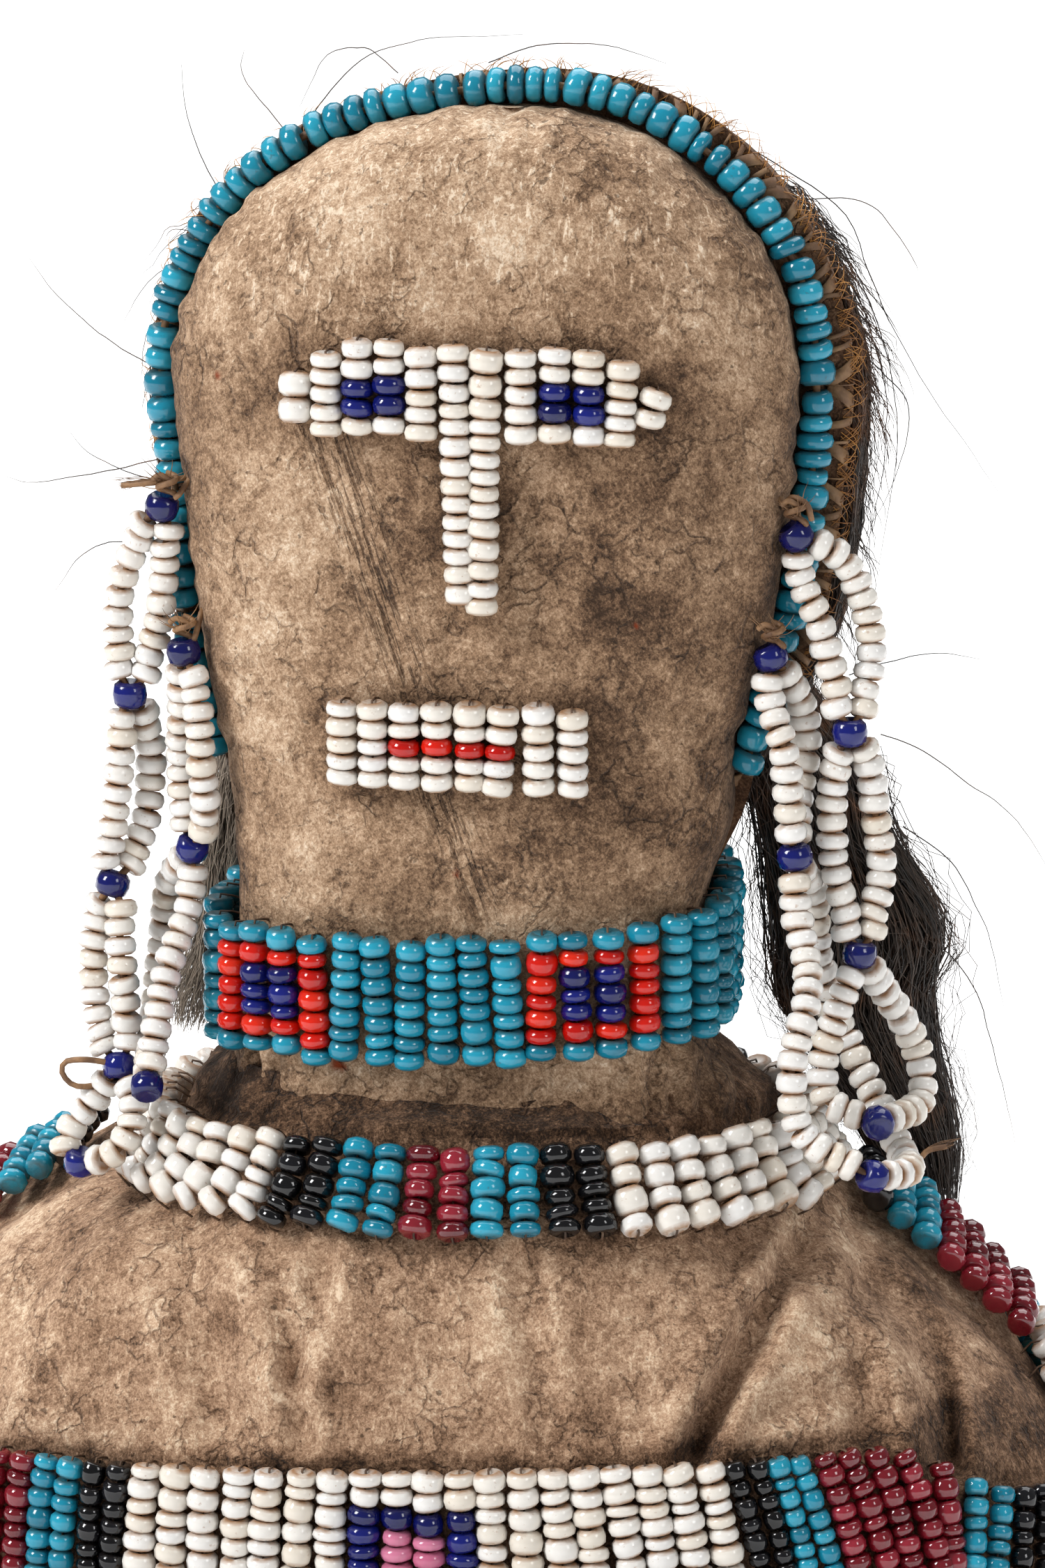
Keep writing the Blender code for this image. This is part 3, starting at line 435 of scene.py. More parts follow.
face_rings = []
for z in head_levels(HIDE_INSET, 0.29, 76):
    half, back = half_width(z, HIDE_INSET), SEAM_Y + BACK_GAP + 0.1
    ring = []
    for k in range(FACE_COLUMNS + 1):
        x = lean(z) + half * math.cos(math.pi * k / FACE_COLUMNS)
        full = jaw_fullness(z) * clamp(((x - lean(z)) / half - 0.3) / 0.5)
        ring.append((x + full, face_y(x, z), z))
    face_rings.append([(ring[0][0], back, z)] + ring + [(lean(z) - half, back, z)])
face_hide = smoked_hide("smoked deer hide, napped and dusty",
                        ("#3A2B20", "#664E3B", "#94775D", "#BDA084", "#DECAB2"), 0.56)
face = skin("face_hide", face_rings, face_hide, face_relief,
            {"creased": near_creases, "rubbed": rubbed_crown, "dirt_and_shade": face_dirt_and_shade, "rust": rust_on_face})
settle(face, "face_hide", "head_front")


# Back of the head and neck: a darker, thicker panel of the same hide. Its rim flares out past the
# bead string, and its inner side faces forward there.

BACK_LIP = 1.5
BACK_RISE = 0.9
BACK_DEPTH = 14.0
BACK_SKEW = 0.5
BACK_ROUNDING = 0.72
BACK_FRONT_Y = SEAM_Y + BACK_GAP


def signed_power(value, power):
    return math.copysign(abs(value) ** power, value)


def back_flare(z):
    return eased((z - CHOKER_Z - 5.0) / (CHEEK_Z - CHOKER_Z - 5.0))


def back_half_width(z):
    if z >= CHEEK_Z:
        return half_width(z, BACK_LIP, BACK_RISE)
    return half_width(z, HIDE_INSET + (BACK_LIP - HIDE_INSET) * back_flare(z))


def back_depth(z):
    share = max(0.0, (z - HEAD_WIDEST_Z) / (HEAD_TOP_Z + BACK_RISE - HEAD_WIDEST_Z))
    stations = ((NECK_FOOT_Z, 0.93), (CHOKER_Z, 0.88), (CHEEK_Z, 1.0))
    return BACK_DEPTH * along(stations, z) * math.sqrt(max(0.0, 1 - share ** 2.6))


def back_point(z, turn, proud=0.0):
    """Surface of the back panel. turn runs from 0 at the viewer's right over 90 behind to 180."""
    half, deep = back_half_width(z) + proud, back_depth(z) + proud
    c, s = math.cos(math.radians(turn)), math.sin(math.radians(turn))
    middle = lean(z) + BACK_SKEW * back_flare(z)
    return Vector((middle + half * signed_power(c, BACK_ROUNDING),
                   BACK_FRONT_Y + deep * abs(s) ** BACK_ROUNDING, z))


def back_relief(p):
    fade = clamp((p.z - NECK_FOOT_Z) / 1.5) * clamp((p.y - BACK_FRONT_Y) / 1.5)
    return fade * (lumpy(p, (0.3, 8.0), (0.12, 2.8), (0.05, 1.0)) - 0.25)


back_rings = []
for z in head_levels(BACK_RISE, 0.6, 44):
    ring = [back_point(z, 180 * k / 120) for k in range(121)]
    for p in ring:
        p.x += jaw_fullness(z) * max(0.0, 1 - (p.y - BACK_FRONT_Y) / 5) if p.x > 5 else 0.0
    left, right = ring[-1], ring[0]
    reach = min(4.0, (right.x - left.x) / 8)
    ring += [Vector((left.x + reach * k / 3, BACK_FRONT_Y, z)) for k in (1, 2, 3)]
    ring += [Vector((right.x - reach * k / 3, BACK_FRONT_Y, z)) for k in (3, 2, 1)]
    back_rings.append(ring)
back_hide = smoked_hide("smoked hide, dark and handled", ("#2E1E15", "#553C2B", "#7E5F48", "#A08062"), 0.5)
back = skin("back_hide", back_rings, back_hide, back_relief, {"dirt_and_shade": lambda p: 0.1})
settle(back, "back_hide", "head_back")


# Glass seed beads: drawn glass tube, cut and tumbled hot, so each is a rounded ring of its own
# height. All beads of the doll come from one tree, which strings them on points with a direction.

BEAD_PITCH = 1.17
COLUMN_PITCH = 2.03
FINISHES = "WTNRBKP"
chance = random.Random(11)


def bead_glass(name, shades, rough, stain_and_shade_colour, dusty, clear=0.0, glow=0.0):
    """Seed-bead glass. Hue wanders from bead to bead, and the ends by the holes take a stain-and-shade colour:
    brown dust on white and black glass, painted shade where beads meet on coloured glass.
    """
    made, tree, shader, mm = new_material(name)
    toward_ends = first(tree, "ShaderNodeMapRange", {0: marked(tree, "bead_end"), 1: 0.57, 2: 0.9})
    end_stain_and_shade = product(tree, toward_ends, blotches(tree, mm, 1.3, 0.25, 0.6, 3.0))
    specks = product(tree, blotches(tree, mm, 0.35, 0.66, 0.74, 2.0), 0.5)
    stain_and_shade = product(tree, number(tree, "MAXIMUM", end_stain_and_shade, specks, use_clamp=True), dusty)
    dents = first(tree, "ShaderNodeTexNoise", {"Vector": mm, "Scale": 0.9, "Detail": 2.0})
    plug(tree, shader, {
        "Base Color": mixed(tree, stain_and_shade, shaded(tree, marked(tree, "tone"), shades), stain_and_shade_colour),
        "Roughness": first(tree, "ShaderNodeMapRange", {0: stain_and_shade, 3: rough, 4: 0.6}),
        "Normal": bumped(tree, dents, 0.12, 0.35), "IOR": 1.52, "Transmission Weight": clear,
        "Coat Weight": glow, "Coat Roughness": 0.08})
    return made


# The fourth value is the colour that bead ends and specks turn to: brown dust on the white and black glass, and
# on the coloured glass a darker tone of it, painted shade where beads meet, with some dust; dusty is how much of
# it.
bead_finishes = (
    bead_glass("opaque white bead glass", ("#DBD9D6", "#DEDAD3", "#D5CCBE", "#E1DFDC"), 0.13, "#9A7350", 1.0),
    bead_glass("opaque turquoise bead glass", ("#0C687F", "#16809A", "#2694AE", "#12768E"), 0.13, "#2E3C38", 0.8),
    bead_glass("cobalt blue bead glass", ("#0B104E", "#101866", "#151F76"), 0.1, "#1B1A30", 0.4, 0.15),
    bead_glass("scarlet bead glass", ("#A60D06", "#C2170A", "#CE2812"), 0.09, "#4A120C", 0.3),
    bead_glass("clear dark red bead glass", ("#680D1A", "#821624", "#A62C3C"), 0.05, "#2E1210", 0.15, 0.35, 0.4),
    bead_glass("black bead glass", ("#060608", "#0B0B0D", "#101014"), 0.07, "#2A241E", 0.3),
    bead_glass("pink bead glass", ("#B8617F", "#C87894"), 0.14, "#6A3A44", 0.4),
)


def growing_tree(name, source, sizes, counts):
    """An empty Geometry Nodes tree that takes a helper, sizes and whole numbers, and its inputs."""
    tree = bpy.data.node_groups.new(name, "GeometryNodeTree")
    for kind, labels in (("Geometry", (source,)), ("Float", sizes), ("Int", counts)):
        for label in labels:
            tree.interface.new_socket(label, in_out="INPUT", socket_type="NodeSocket" + kind)
    tree.interface.new_socket("Made", in_out="OUTPUT", socket_type="NodeSocketGeometry")
    return tree, add(tree, "NodeGroupInput").outputs


def triple(tree, x=0.0, y=0.0, z=0.0):
    return first(tree, "ShaderNodeCombineXYZ", {0: x, 1: y, 2: z})


def named(tree, label, kind="FLOAT"):
    """What the helper's points carry under a name."""
    return first(tree, "GeometryNodeInputNamedAttribute", {"Name": label}, data_type=kind)


def stored(tree, shape, label, value, domain):
    return first(tree, "GeometryNodeStoreNamedAttribute", {0: shape, "Name": label, "Value": value},
               data_type="FLOAT", domain=domain)


def drawn(tree, low, high, seed):
    """Three numbers for each point, drawn between two limits."""
    return first(tree, "FunctionNodeRandomValue", {0: low, 1: high, "Seed": seed}, data_type="FLOAT_VECTOR")


def facing(tree):
    """The turn that lays Z along a point's axis and X towards its outer side."""
    axis, out = (named(tree, label, "FLOAT_VECTOR") for label in ("axis", "out"))
    return first(tree, "FunctionNodeAxesToRotation", {0: axis, 1: out}, primary_axis="Z", secondary_axis="X")


def bead_stringing():
    """The tree: one rounded bead on each point, turned to its thread and a little uneven."""
    sizes = ("Bead width", "Bead height", "Unevenness", "Tilt")
    tree, given = growing_tree("bead stringing", "Points", sizes, ("Seed",))

    # A ball is squared up into a drum with rounded shoulders, and its poles sink into the hole
    ball = first(tree, "GeometryNodeMeshUVSphere", {"Segments": 10, "Rings": 6, "Radius": 1.0})
    at = first(tree, "GeometryNodeInputPosition")
    up = add(tree, "ShaderNodeSeparateXYZ", {0: at}).outputs[2]
    flat = vector(tree, "MULTIPLY", at, (1, 1, 0))
    reach = add(tree, "ShaderNodeVectorMath", {0: flat}, operation="LENGTH").outputs["Value"]
    belly = number(tree, "POWER", number(tree, "MAXIMUM", reach, 0.05), -0.34)
    high = number(tree, "POWER", number(tree, "ABSOLUTE", up), 0.74)
    hole = number(tree, "LESS_THAN", reach, 0.05)
    sunk = product(tree, high, number(tree, "SUBTRACT", 1.0, product(tree, hole, 0.5)))
    tall = triple(tree, z=product(tree, sunk, number(tree, "SIGN", up)))
    spot = vector(tree, "ADD", vector(tree, "SCALE", flat, Scale=belly), tall)
    drum = first(tree, "GeometryNodeSetPosition", {0: ball, "Position": spot})
    drum = stored(tree, drum, "bead_end", high, "POINT")
    half_wide, half_high = (product(tree, given[label], 0.5) for label in ("Bead width", "Bead height"))
    size = triple(tree, half_wide, half_wide, half_high)
    bead = first(tree, "GeometryNodeTransform", {0: drum, "Scale": size})

    # Each bead tips a little on its thread, turns freely round it and has a size of its own
    tilt, seed = given["Tilt"], given["Seed"]
    back_tilt = product(tree, tilt, -1.0)
    lean_by = drawn(tree, triple(tree, back_tilt, back_tilt, -math.pi), triple(tree, tilt, tilt, math.pi),
                    seed)
    own_turn = first(tree, "FunctionNodeEulerToRotation", {0: lean_by})
    turned = first(tree, "FunctionNodeRotateRotation", {0: facing(tree), 1: own_turn}, rotation_space="LOCAL")
    low, top = (number(tree, way, 1.0, given["Unevenness"]) for way in ("SUBTRACT", "ADD"))
    own = drawn(tree, triple(tree, low, low, 1.02), triple(tree, top, top, 1.09),
                number(tree, "ADD", seed, 1.0))
    scale = vector(tree, "MULTIPLY", own, named(tree, "size", "FLOAT_VECTOR"))
    strung = first(tree, "GeometryNodeInstanceOnPoints", {"Points": given["Points"], "Instance": bead,
                                                        "Rotation": turned, "Scale": scale})
    tone = add(tree, "FunctionNodeRandomValue", {2: 0.0, 3: 1.0, "Seed": number(tree, "ADD", seed, 2.0)},
               data_type="FLOAT").outputs[1]
    strung = stored(tree, strung, "tone", tone, "INSTANCE")
    solid = first(tree, "GeometryNodeRealizeInstances", {0: strung})
    solid = first(tree, "GeometryNodeSetShadeSmooth", {0: solid})
    kind = named(tree, "finish", "INT")
    for k, finish in enumerate(bead_finishes):
        this = first(tree, "FunctionNodeCompare", {2: kind, 3: k}, data_type="INT", operation="EQUAL")
        solid = first(tree, "GeometryNodeSetMaterial", {0: solid, 1: this, 2: finish})
    add(tree, "NodeGroupOutput", {0: solid})
    return tree


def helper_points(name, places, edges, **layers):
    """A helper for a tree: points in mm, joined by edges, with numbers or directions on them."""
    mesh = bpy.data.meshes.new(name + "_points")
    mesh.from_pydata([Vector(p) * MM for p in places], edges, [])
    for label, values in layers.items():
        if isinstance(values[0], (float, int)):
            layer = mesh.attributes.new(label, "INT" if isinstance(values[0], int) else "FLOAT", "POINT")
            layer.data.foreach_set("value", values)
        else:
            layer = mesh.attributes.new(label, "FLOAT_VECTOR", "POINT")
            layer.data.foreach_set("vector", [v for row in values for v in row])
    return placed(name + "_points", mesh)


def grown(name, source, tree, sizes):
    """Runs a tree on a helper and keeps what it makes as a plain mesh; the helper goes."""
    modifier = source.modifiers.new(name, "NODES")
    modifier.node_group = tree
    for item in tree.interface.items_tree:
        if item.name in sizes:
            modifier[item.identifier] = sizes[item.name]
    shaped = source.evaluated_get(bpy.context.evaluated_depsgraph_get())
    mesh = bpy.data.meshes.new_from_object(shaped)
    bpy.data.objects.remove(source)
    mesh.name = name
    used = sorted({face.material_index for face in mesh.polygons})
    finishes = [mesh.materials[k] for k in used]
    places = [used.index(face.material_index) for face in mesh.polygons]
    mesh.materials.clear()
    for finish in finishes:
        mesh.materials.append(finish)
    mesh.polygons.foreach_set("material_index", places)
    return placed(name, mesh)


stringing = bead_stringing()


def string_beads(name, beads, seed, unevenness=0.04, tilt=0.09):
    """Beads as (middle, thread direction, outward, height, colour letter, width share)."""
    middles, axes, outs, heights, letters, widths = zip(*beads)
    sizes = [(wide, wide, high / BEAD_PITCH) for wide, high in zip(widths, heights)]
    finishes = [FINISHES.index(letter) for letter in letters]
    source = helper_points(name, middles, [], axis=axes, out=outs, finish=finishes, size=sizes)
    return grown(name, source, stringing, {
        "Bead width": 1.05 * BEAD_WIDTH * MM, "Bead height": BEAD_PITCH * MM, "Unevenness": unevenness,
        "Tilt": tilt, "Seed": seed})


def uneven(count, pitch, spread=0.24):
    """Bead heights that differ as hand-picked beads do, and add up to count times the pitch."""
    heights = [1 + chance.uniform(-spread, spread) for _ in range(count)]
    scale = count * pitch / sum(heights)
    return [high * scale for high in heights]


def strung(line, colours, heights, width=1.0):
    """Beads one after another along line(distance), which gives a point and its outward direction."""
    out, done = [], 0.0
    for colour, high in zip(colours, heights):
        point, outward = line(done + high / 2)
        ahead = line(done + high)[0] - line(done)[0]
        fat = width * (1 + 0.25 * (min(high, 1.5) / BEAD_PITCH - 1) * chance.uniform(-0.3, 1.0))
        out.append((point, ahead.normalized(), outward, high, colour, fat))
        done += high
    return out


sewing_threads = []


def sewn(row):
    """Keeps the thread of a row of beads, which dives into the hide before the first and after the last."""
    for (middle, axis, outward, high, _, _), way in ((row[0], -1), (row[-1], 1)):
        end = middle + axis * way * (high / 2 + 0.02)
        dive = [end, end + axis * way * 0.06 - outward * 0.6, end - axis * way * 0.2 - outward * 1.7]
        if way < 0:
            thread = dive[::-1]
        else:
            thread += [bead[0] for bead in row] + dive
    sewing_threads.append(thread)
    return row


def smooth_path(points, steps=6):
    """Catmull-Rom curve through a few chosen points."""
    knots = [Vector(p) for p in points]
    knots = [2 * knots[0] - knots[1]] + knots + [2 * knots[-1] - knots[-2]]
    out = []
    for i in range(1, len(knots) - 2):
        a, b, c, d = knots[i - 1:i + 3]
        for k in range(steps):
            t = k / steps
            out.append(0.5 * (2 * b + (c - a) * t + (2 * a - 5 * b + 4 * c - d) * t * t
                              + (3 * b - a - 3 * c + d) * t**3))
    return out + [knots[-2]]


class Path:
    """A path of points with its running length."""

    def __init__(self, points):
        self.points = [Vector(p) for p in points]
        self.runs = [0.0]
        for a, b in zip(self.points, self.points[1:]):
            self.runs.append(self.runs[-1] + (b - a).length)
        self.length = self.runs[-1]

    def at(self, distance):
        distance = min(self.length, max(0.0, distance))
        low, high = 0, len(self.runs) - 1
        while high - low > 1:
            middle = (low + high) // 2
            low, high = (middle, high) if self.runs[middle] <= distance else (low, middle)
        share = (distance - self.runs[low]) / max(self.runs[high] - self.runs[low], 1e-9)
        return self.points[low].lerp(self.points[high], min(1.0, share))


# Bead string round the face: turquoise beads on one sinew thread, laid in the groove of the seam and
# held down after every six to eight beads, so the row steps a little there.

EDGE_GROUPS = (6, 7, 6, 6, 6, 7, 5, 7, 6, 6, 7, 6, 7)
EDGE_STEP = 0.14
EDGE_SLACK = 0.3

arch = []
for k in range(121):
    angle = math.pi * k / 120
    z = HEAD_WIDEST_Z + (HEAD_TOP_Z - HEAD_WIDEST_Z) * math.sin(angle) ** (2 / HEAD_ARCH_POWER)
    arch.append((lean(z) + HEAD_HALF_WIDTH * math.cos(angle), SEAM_Y, z))
side_levels = [JAW_Z + (HEAD_WIDEST_Z - JAW_Z) * k / 20 for k in range(20)]
seam = Path([(lean(z) + half_width(z), SEAM_Y, z) for z in side_levels] + arch
            + [(lean(z) - half_width(z), SEAM_Y, z) for z in reversed(side_levels)])
count = sum(EDGE_GROUPS)
edge_heights = uneven(count, (seam.length - EDGE_SLACK * (len(EDGE_GROUPS) - 1)) / count, 0.24)
edge_beads, done = [], 0.0
for g, size in enumerate(EDGE_GROUPS):
    for i in range(size):
        high = edge_heights.pop()
        here = seam.at(done + high / 2)
        ahead = (seam.at(done + high) - seam.at(done)).normalized()
        outward = Vector((0, -1, 0))
        side = ahead.cross(outward)
        step = EDGE_STEP * (2 * i / (size - 1) - 1) * (1 if g % 2 else -0.6)
        ahead = (ahead + side * step * 0.6).normalized()
        here += side * step + outward * chance.uniform(-0.05, 0.1)
        edge_beads.append((here, ahead, outward, high, "T", chance.uniform(1.02, 1.16)))
        done += high
    done += EDGE_SLACK
strand_threads = [[bead[0] for bead in edge_beads]]
settle(string_beads("seam_bead_string", edge_beads, 21, 0.06, 0.11), "turquoise_beads", "edge_bead_string")


# Face beadwork: short columns of white beads sewn flat, cobalt for the pupils and four scarlet beads
# in the mouth. A chart line is x, top, colours from the top, and heights in tenths over 0.8 mm.

EYE_AND_NOSE_CHART = (
    (-9.35, 77.6, "WW", "88"), (-7.35, 78.9, "WWWWW", "23332"), (-5.35, 79.8, "WWNNW", "55443"),
    (-3.35, 79.8, "WWNNW", "44565"), (-1.35, 79.4, "WWWWW", "65334"),
    (0.64, 79.6, "WWWWWWWWWWWWWW", "44423544323345"), (2.72, 79.3, "WWWWWWWWWWWWWW", "77522322346433"),
    (4.85, 79.3, "WWWWW", "33444"), (6.95, 79.5, "WWNNW", "44466"), (9.0, 79.3, "WWNNW", "33456"),
    (11.1, 78.7, "WWWWW", "53222"), (13.2, 76.9, "WW", "44"))
MOUTH_CHART = (
    (-6.5, 57.1, "WWWWW", "24322"), (-4.5, 57.2, "WWWWW", "44223"), (-2.5, 57.1, "WWRWW", "42323"),
    (-0.45, 57.2, "WWRWW", "33334"), (1.65, 57.3, "WWRWW", "72223"), (3.8, 57.1, "WWRWW", "44234"),
    (5.9, 57.3, "WWWWW", "54333"), (8.0, 56.9, "WWWWW", "42333"))
COLUMN_SLANTS = {3.8: -0.1, 13.2: -0.28, 11.1: -0.05, 0.64: 0.03, 2.72: -0.02}
FIVE_BEADS_HIGH = 5.95


def face_column(x, top, colours, digits):
    slant = COLUMN_SLANTS.get(x, 0.0)
    heights = [0.8 + 0.1 * int(digit) for digit in digits]
    scale = min(1.0, FIVE_BEADS_HIGH / sum(heights)) if len(colours) == 5 else 1.0

    def line(distance):
        z = top - distance
        here = x + slant * distance
        point = Vector((here, face_y(here, z, CLEARANCE + BEAD_WIDTH / 2), z))
        run = 0.3
        across = face_y(here + run, z) - face_y(here - run, z)
        return point, Vector((across, -2 * run, 0)).normalized()

    return sewn(strung(line, colours, [high * scale for high in heights]))


eye_nose = [face_column(*row) for row in EYE_AND_NOSE_CHART]
settle(string_beads("eye_beads_left", sum(eye_nose[:5], []), 31), "white_beads", "eye_left_beads")
settle(string_beads("nose_bead_columns", sum(eye_nose[5:7], []), 32), "white_beads", "nose_beads")
settle(string_beads("eye_beads_right", sum(eye_nose[7:], []), 33), "white_beads", "eye_right_beads")
settle(string_beads("mouth_bead_columns", sum((face_column(*row) for row in MOUTH_CHART), []), 34),
       "white_beads", "mouth_beads")


# Choker: columns of seven turquoise beads sewn side by side round the neck, with two squares of red
# and cobalt in front. The chart lists its front columns from left to right, each from the top.

CHOKER_ROWS = 7
CHOKER_TILT = 0.047
CHOKER_PITCH = 0.11
SQUARE = ("TRRRRRT", "TRNNNRT", "TRNNNRT", "TRRRRRT")
CHOKER_CHART = ("TTTTTTT",) * 2 + SQUARE + ("TTTTTTT",) * 6 + SQUARE + ("TTTTTTT",) * 4
CHOKER_MIDDLE_X = -1.2
CHOKER_MIDDLE_COLUMN = 9


def neck_outline(z, pieces=24):
    half = half_width(z, HIDE_INSET)
    across = [lean(z) + half * math.cos(math.pi * k / pieces) for k in range(pieces + 1)]
    front = [Vector((x, face_y(x, z), z)) for x in across]
    return front + [back_point(z, 180 - 180 * k / pieces) for k in range(pieces + 1)]


def closed_path(points):
    return Path(list(points) + [points[0]])


choker_foot = CHOKER_Z - CHOKER_ROWS * BEAD_PITCH / 2
neck = closed_path(max((neck_outline(z, 60) for z in (choker_foot, choker_foot + CHOKER_ROWS * BEAD_PITCH)),
                       key=lambda ring: ring[0].x))
choker_start = next(s / 20 for s in range(2000) if neck.at(s / 20).x < CHOKER_MIDDLE_X)
choker_count = round(neck.length / COLUMN_PITCH)
choker_beads = []
for k in range(choker_count):
    place = (choker_start - (k + 0.5 - CHOKER_MIDDLE_COLUMN) * neck.length / choker_count) % neck.length
    p = neck.at(place)
    ahead = neck.at((place + 0.5) % neck.length) - neck.at((place - 0.5) % neck.length)
    normal = Vector((ahead.y, -ahead.x, 0)).normalized()
    if normal.dot(p - Vector((0, BACK_FRONT_Y, p.z))) < 0:
        normal = -normal
    lift = CHOKER_TILT * p.x + CHOKER_PITCH * (p.y - BACK_FRONT_Y)
    colours = CHOKER_CHART[k] if k < len(CHOKER_CHART) else "T" * CHOKER_ROWS
    heights = uneven(CHOKER_ROWS, BEAD_PITCH, 0.3)
    top = CHOKER_Z + CHOKER_ROWS * BEAD_PITCH / 2 + lift + chance.uniform(-0.3, 0.3)
    sway = Vector((-normal.y, normal.x, 0)) * chance.uniform(-0.06, 0.06)
    centre = p + normal * (CLEARANCE + BEAD_WIDTH / 2)
    choker_beads += sewn(strung(lambda s: (Vector((centre.x, centre.y, 0)) + sway * (s - 4)
                                           + Vector((0, 0, top - s)), normal), colours, heights, 0.98))
settle(string_beads("choker_bead_columns", choker_beads, 41), "turquoise_beads", "choker_beads")


# Dress: smoked hide over stuffed shoulders, soft and wrinkled, pulled in at the neck. A strip of its
# hem turns up against the neck, and two deep folds run down to the arm at the viewer's right.

COLLAR_Z = 31.0
YOKE_STATIONS_LEFT = ((0, 42.5), (10, 40.5), (18.3, 33.1), (21.4, 28.3), (24.5, 21.6), (31, 18.3))
YOKE_STATIONS_RIGHT = ((0, 42.0), (10.5, 36.6), (17.7, 29.3), (21.5, 24.6), (24.5, 21.4), (31, 18.3))
YOKE_STATIONS_FRONT = ((0, 22.5), (11, 22.0), (18, 21.0), (22.7, 19.6), (26, 18.0), (31, 15.4))
YOKE_STATIONS_BACK = ((0, 18.0), (11, 17.5), (18, 16.5), (24, 14.8), (31, 11.6))
YOKE_SQUARENESS = 2.25

# Folds in front, each a route in (x, z), a depth, a width and the height of the ridge beside it
YOKE_FOLDS = (
    (((24.5, 26.5), (22.0, 22.0), (18.7, 16.0), (16.2, 10.8)), 2.0, 0.85, 0.8),
    (((26.0, 19.4), (29.6, 17.4), (31.0, 13.5), (31.6, 9.0)), 2.9, 0.9, 1.2),
    (((-16.5, 23.5), (-13.5, 12.0)), 0.8, 1.7, 0.35),
    (((-9.5, 19.5), (-8.0, 11.5)), 0.55, 0.7, 0.35),
    (((-7.0, 22.5), (-8.6, 15.0)), 0.4, 0.7, 0.3),
    (((5.5, 22.5), (7.5, 12.0)), 0.4, 0.9, 0.25),
    (((-26.0, 21.0), (-30.5, 12.0)), 0.7, 1.6, 0.3),
    (((20.5, 13.5), (25.5, 14.5)), 0.5, 0.9, 0.25),
    (((22.0, 21.8), (25.6, 18.0), (27.0, 12.0)), 0.55, 0.9, 0.35),
)


def shoulder_swell(x, y, z):
    """Height of the padded ridge behind each shoulder seam, which tips the bead lane to the front."""
    share = clamp((abs(x) - 21.0) / 5.0) * clamp((z - 10.5) / 3.0)
    return share * (0.45 * min(max(0.0, y), 6.5) - 0.5 * min(6.0, max(0.0, y - 7.0)))


def yoke_point(turn, z, folds=()):
    """Surface of the yoke. turn is 0 at the viewer's right, 90 in front and 180 at the left."""
    c, s = math.cos(math.radians(turn)), math.sin(math.radians(turn))
    side = along(YOKE_STATIONS_RIGHT if c >= 0 else YOKE_STATIONS_LEFT, z)
    deep = along(YOKE_STATIONS_FRONT if s >= 0 else YOKE_STATIONS_BACK, z)
    x = side * signed_power(c, 2 / YOKE_SQUARENESS)
    y = -deep * signed_power(s, 2 / YOKE_SQUARENESS)
    if s > 0:
        for route, depth, width, ridge in folds:
            away = away_from(route, x, z)
            if away < 5 * width:
                beside = bell((away - 2.1 * width) / (1.1 * width))
                y += (depth * bell(away / width) - ridge * beside) * min(1.0, s * 2)
    return Vector((x, y, z + shoulder_swell(x, y, z)))


def yoke_relief(p):
    calm = clamp((p.z - 10.8) / 2.0) * 0.8 + 0.2
    push = 0.5 * noise.noise(Vector((p.x, p.y, p.z * 0.8)) / 4.6) + lumpy(p, (0.2, 1.9), (0.1, 0.8)) - 0.2
    hem = max(0.0, 1 - abs(p.z - 30.0) / 1.9)
    push += 0.45 * hem * noise.noise(Vector((p.x / 7, p.y / 7, p.z / 0.75)))
    return push * clamp(p.z / 1.5) * calm


collar_path = closed_path([Vector((p.x, p.y, 0)) for p in neck_outline(COLLAR_Z, 60)])


def collar_hole(turn):
    """Neck opening of the dress in one direction, close round the neck."""
    want = Vector((math.cos(math.radians(turn)), -math.sin(math.radians(turn))))
    middle = Vector((0, BACK_FRONT_Y))
    ring = collar_path.points
    for a, b in zip(ring, ring[1:]):
        a, b = a.xy - middle, b.xy - middle
        turn_a, turn_b = want.cross(a), want.cross(b)
        if turn_a >= 0 > turn_b and a.dot(want) > 0:
            hit = a.lerp(b, turn_a / (turn_a - turn_b)) + middle + want * -0.5
            return Vector((hit.x, hit.y, 0))
    return Vector((*(middle + want * 14), 0))


def collar_rise(p):
    """How much higher the collar's edge stands at the sides of the neck and behind it."""
    return 1.1 * clamp((abs(p.x) - 7) / 7) + 1.0 * clamp((p.y + 4) / 8)


YOKE_COLUMNS = 420
YOKE_LEVELS = 96
LIP_FOOT_Z = 30.2

# The lip closes on the neck as shares of the way from the hem, each with its height, then tucks in
LIP_STEPS = ((0.2, 30.7), (0.42, 31.05), (0.64, 31.35), (0.82, 31.55), (0.94, 31.5), (1.0, 31.2), (1.0, 29.6),
             (1.0, NECK_FOOT_Z - CLEARANCE))
turns = [360 * (k + 0.5) / YOKE_COLUMNS for k in range(YOKE_COLUMNS)]
holes = [collar_hole(turn) for turn in turns]
yoke_rings = [[yoke_point(turn, LIP_FOOT_Z * k / YOKE_LEVELS, YOKE_FOLDS) for turn in turns]
              for k in range(YOKE_LEVELS + 1)]
hem = yoke_rings[-1]
for share, z in LIP_STEPS:
    yoke_rings.append([Vector((*p.lerp(q, share).xy, z + share * collar_rise(p)))
                       for p, q in zip(hem, holes)])
dress_hide = smoked_hide("smoked hide, worn brown with handling",
                         ("#2C1F16", "#5C4432", "#8E6F57", "#B8987C", "#DCC4A8"), 0.58)


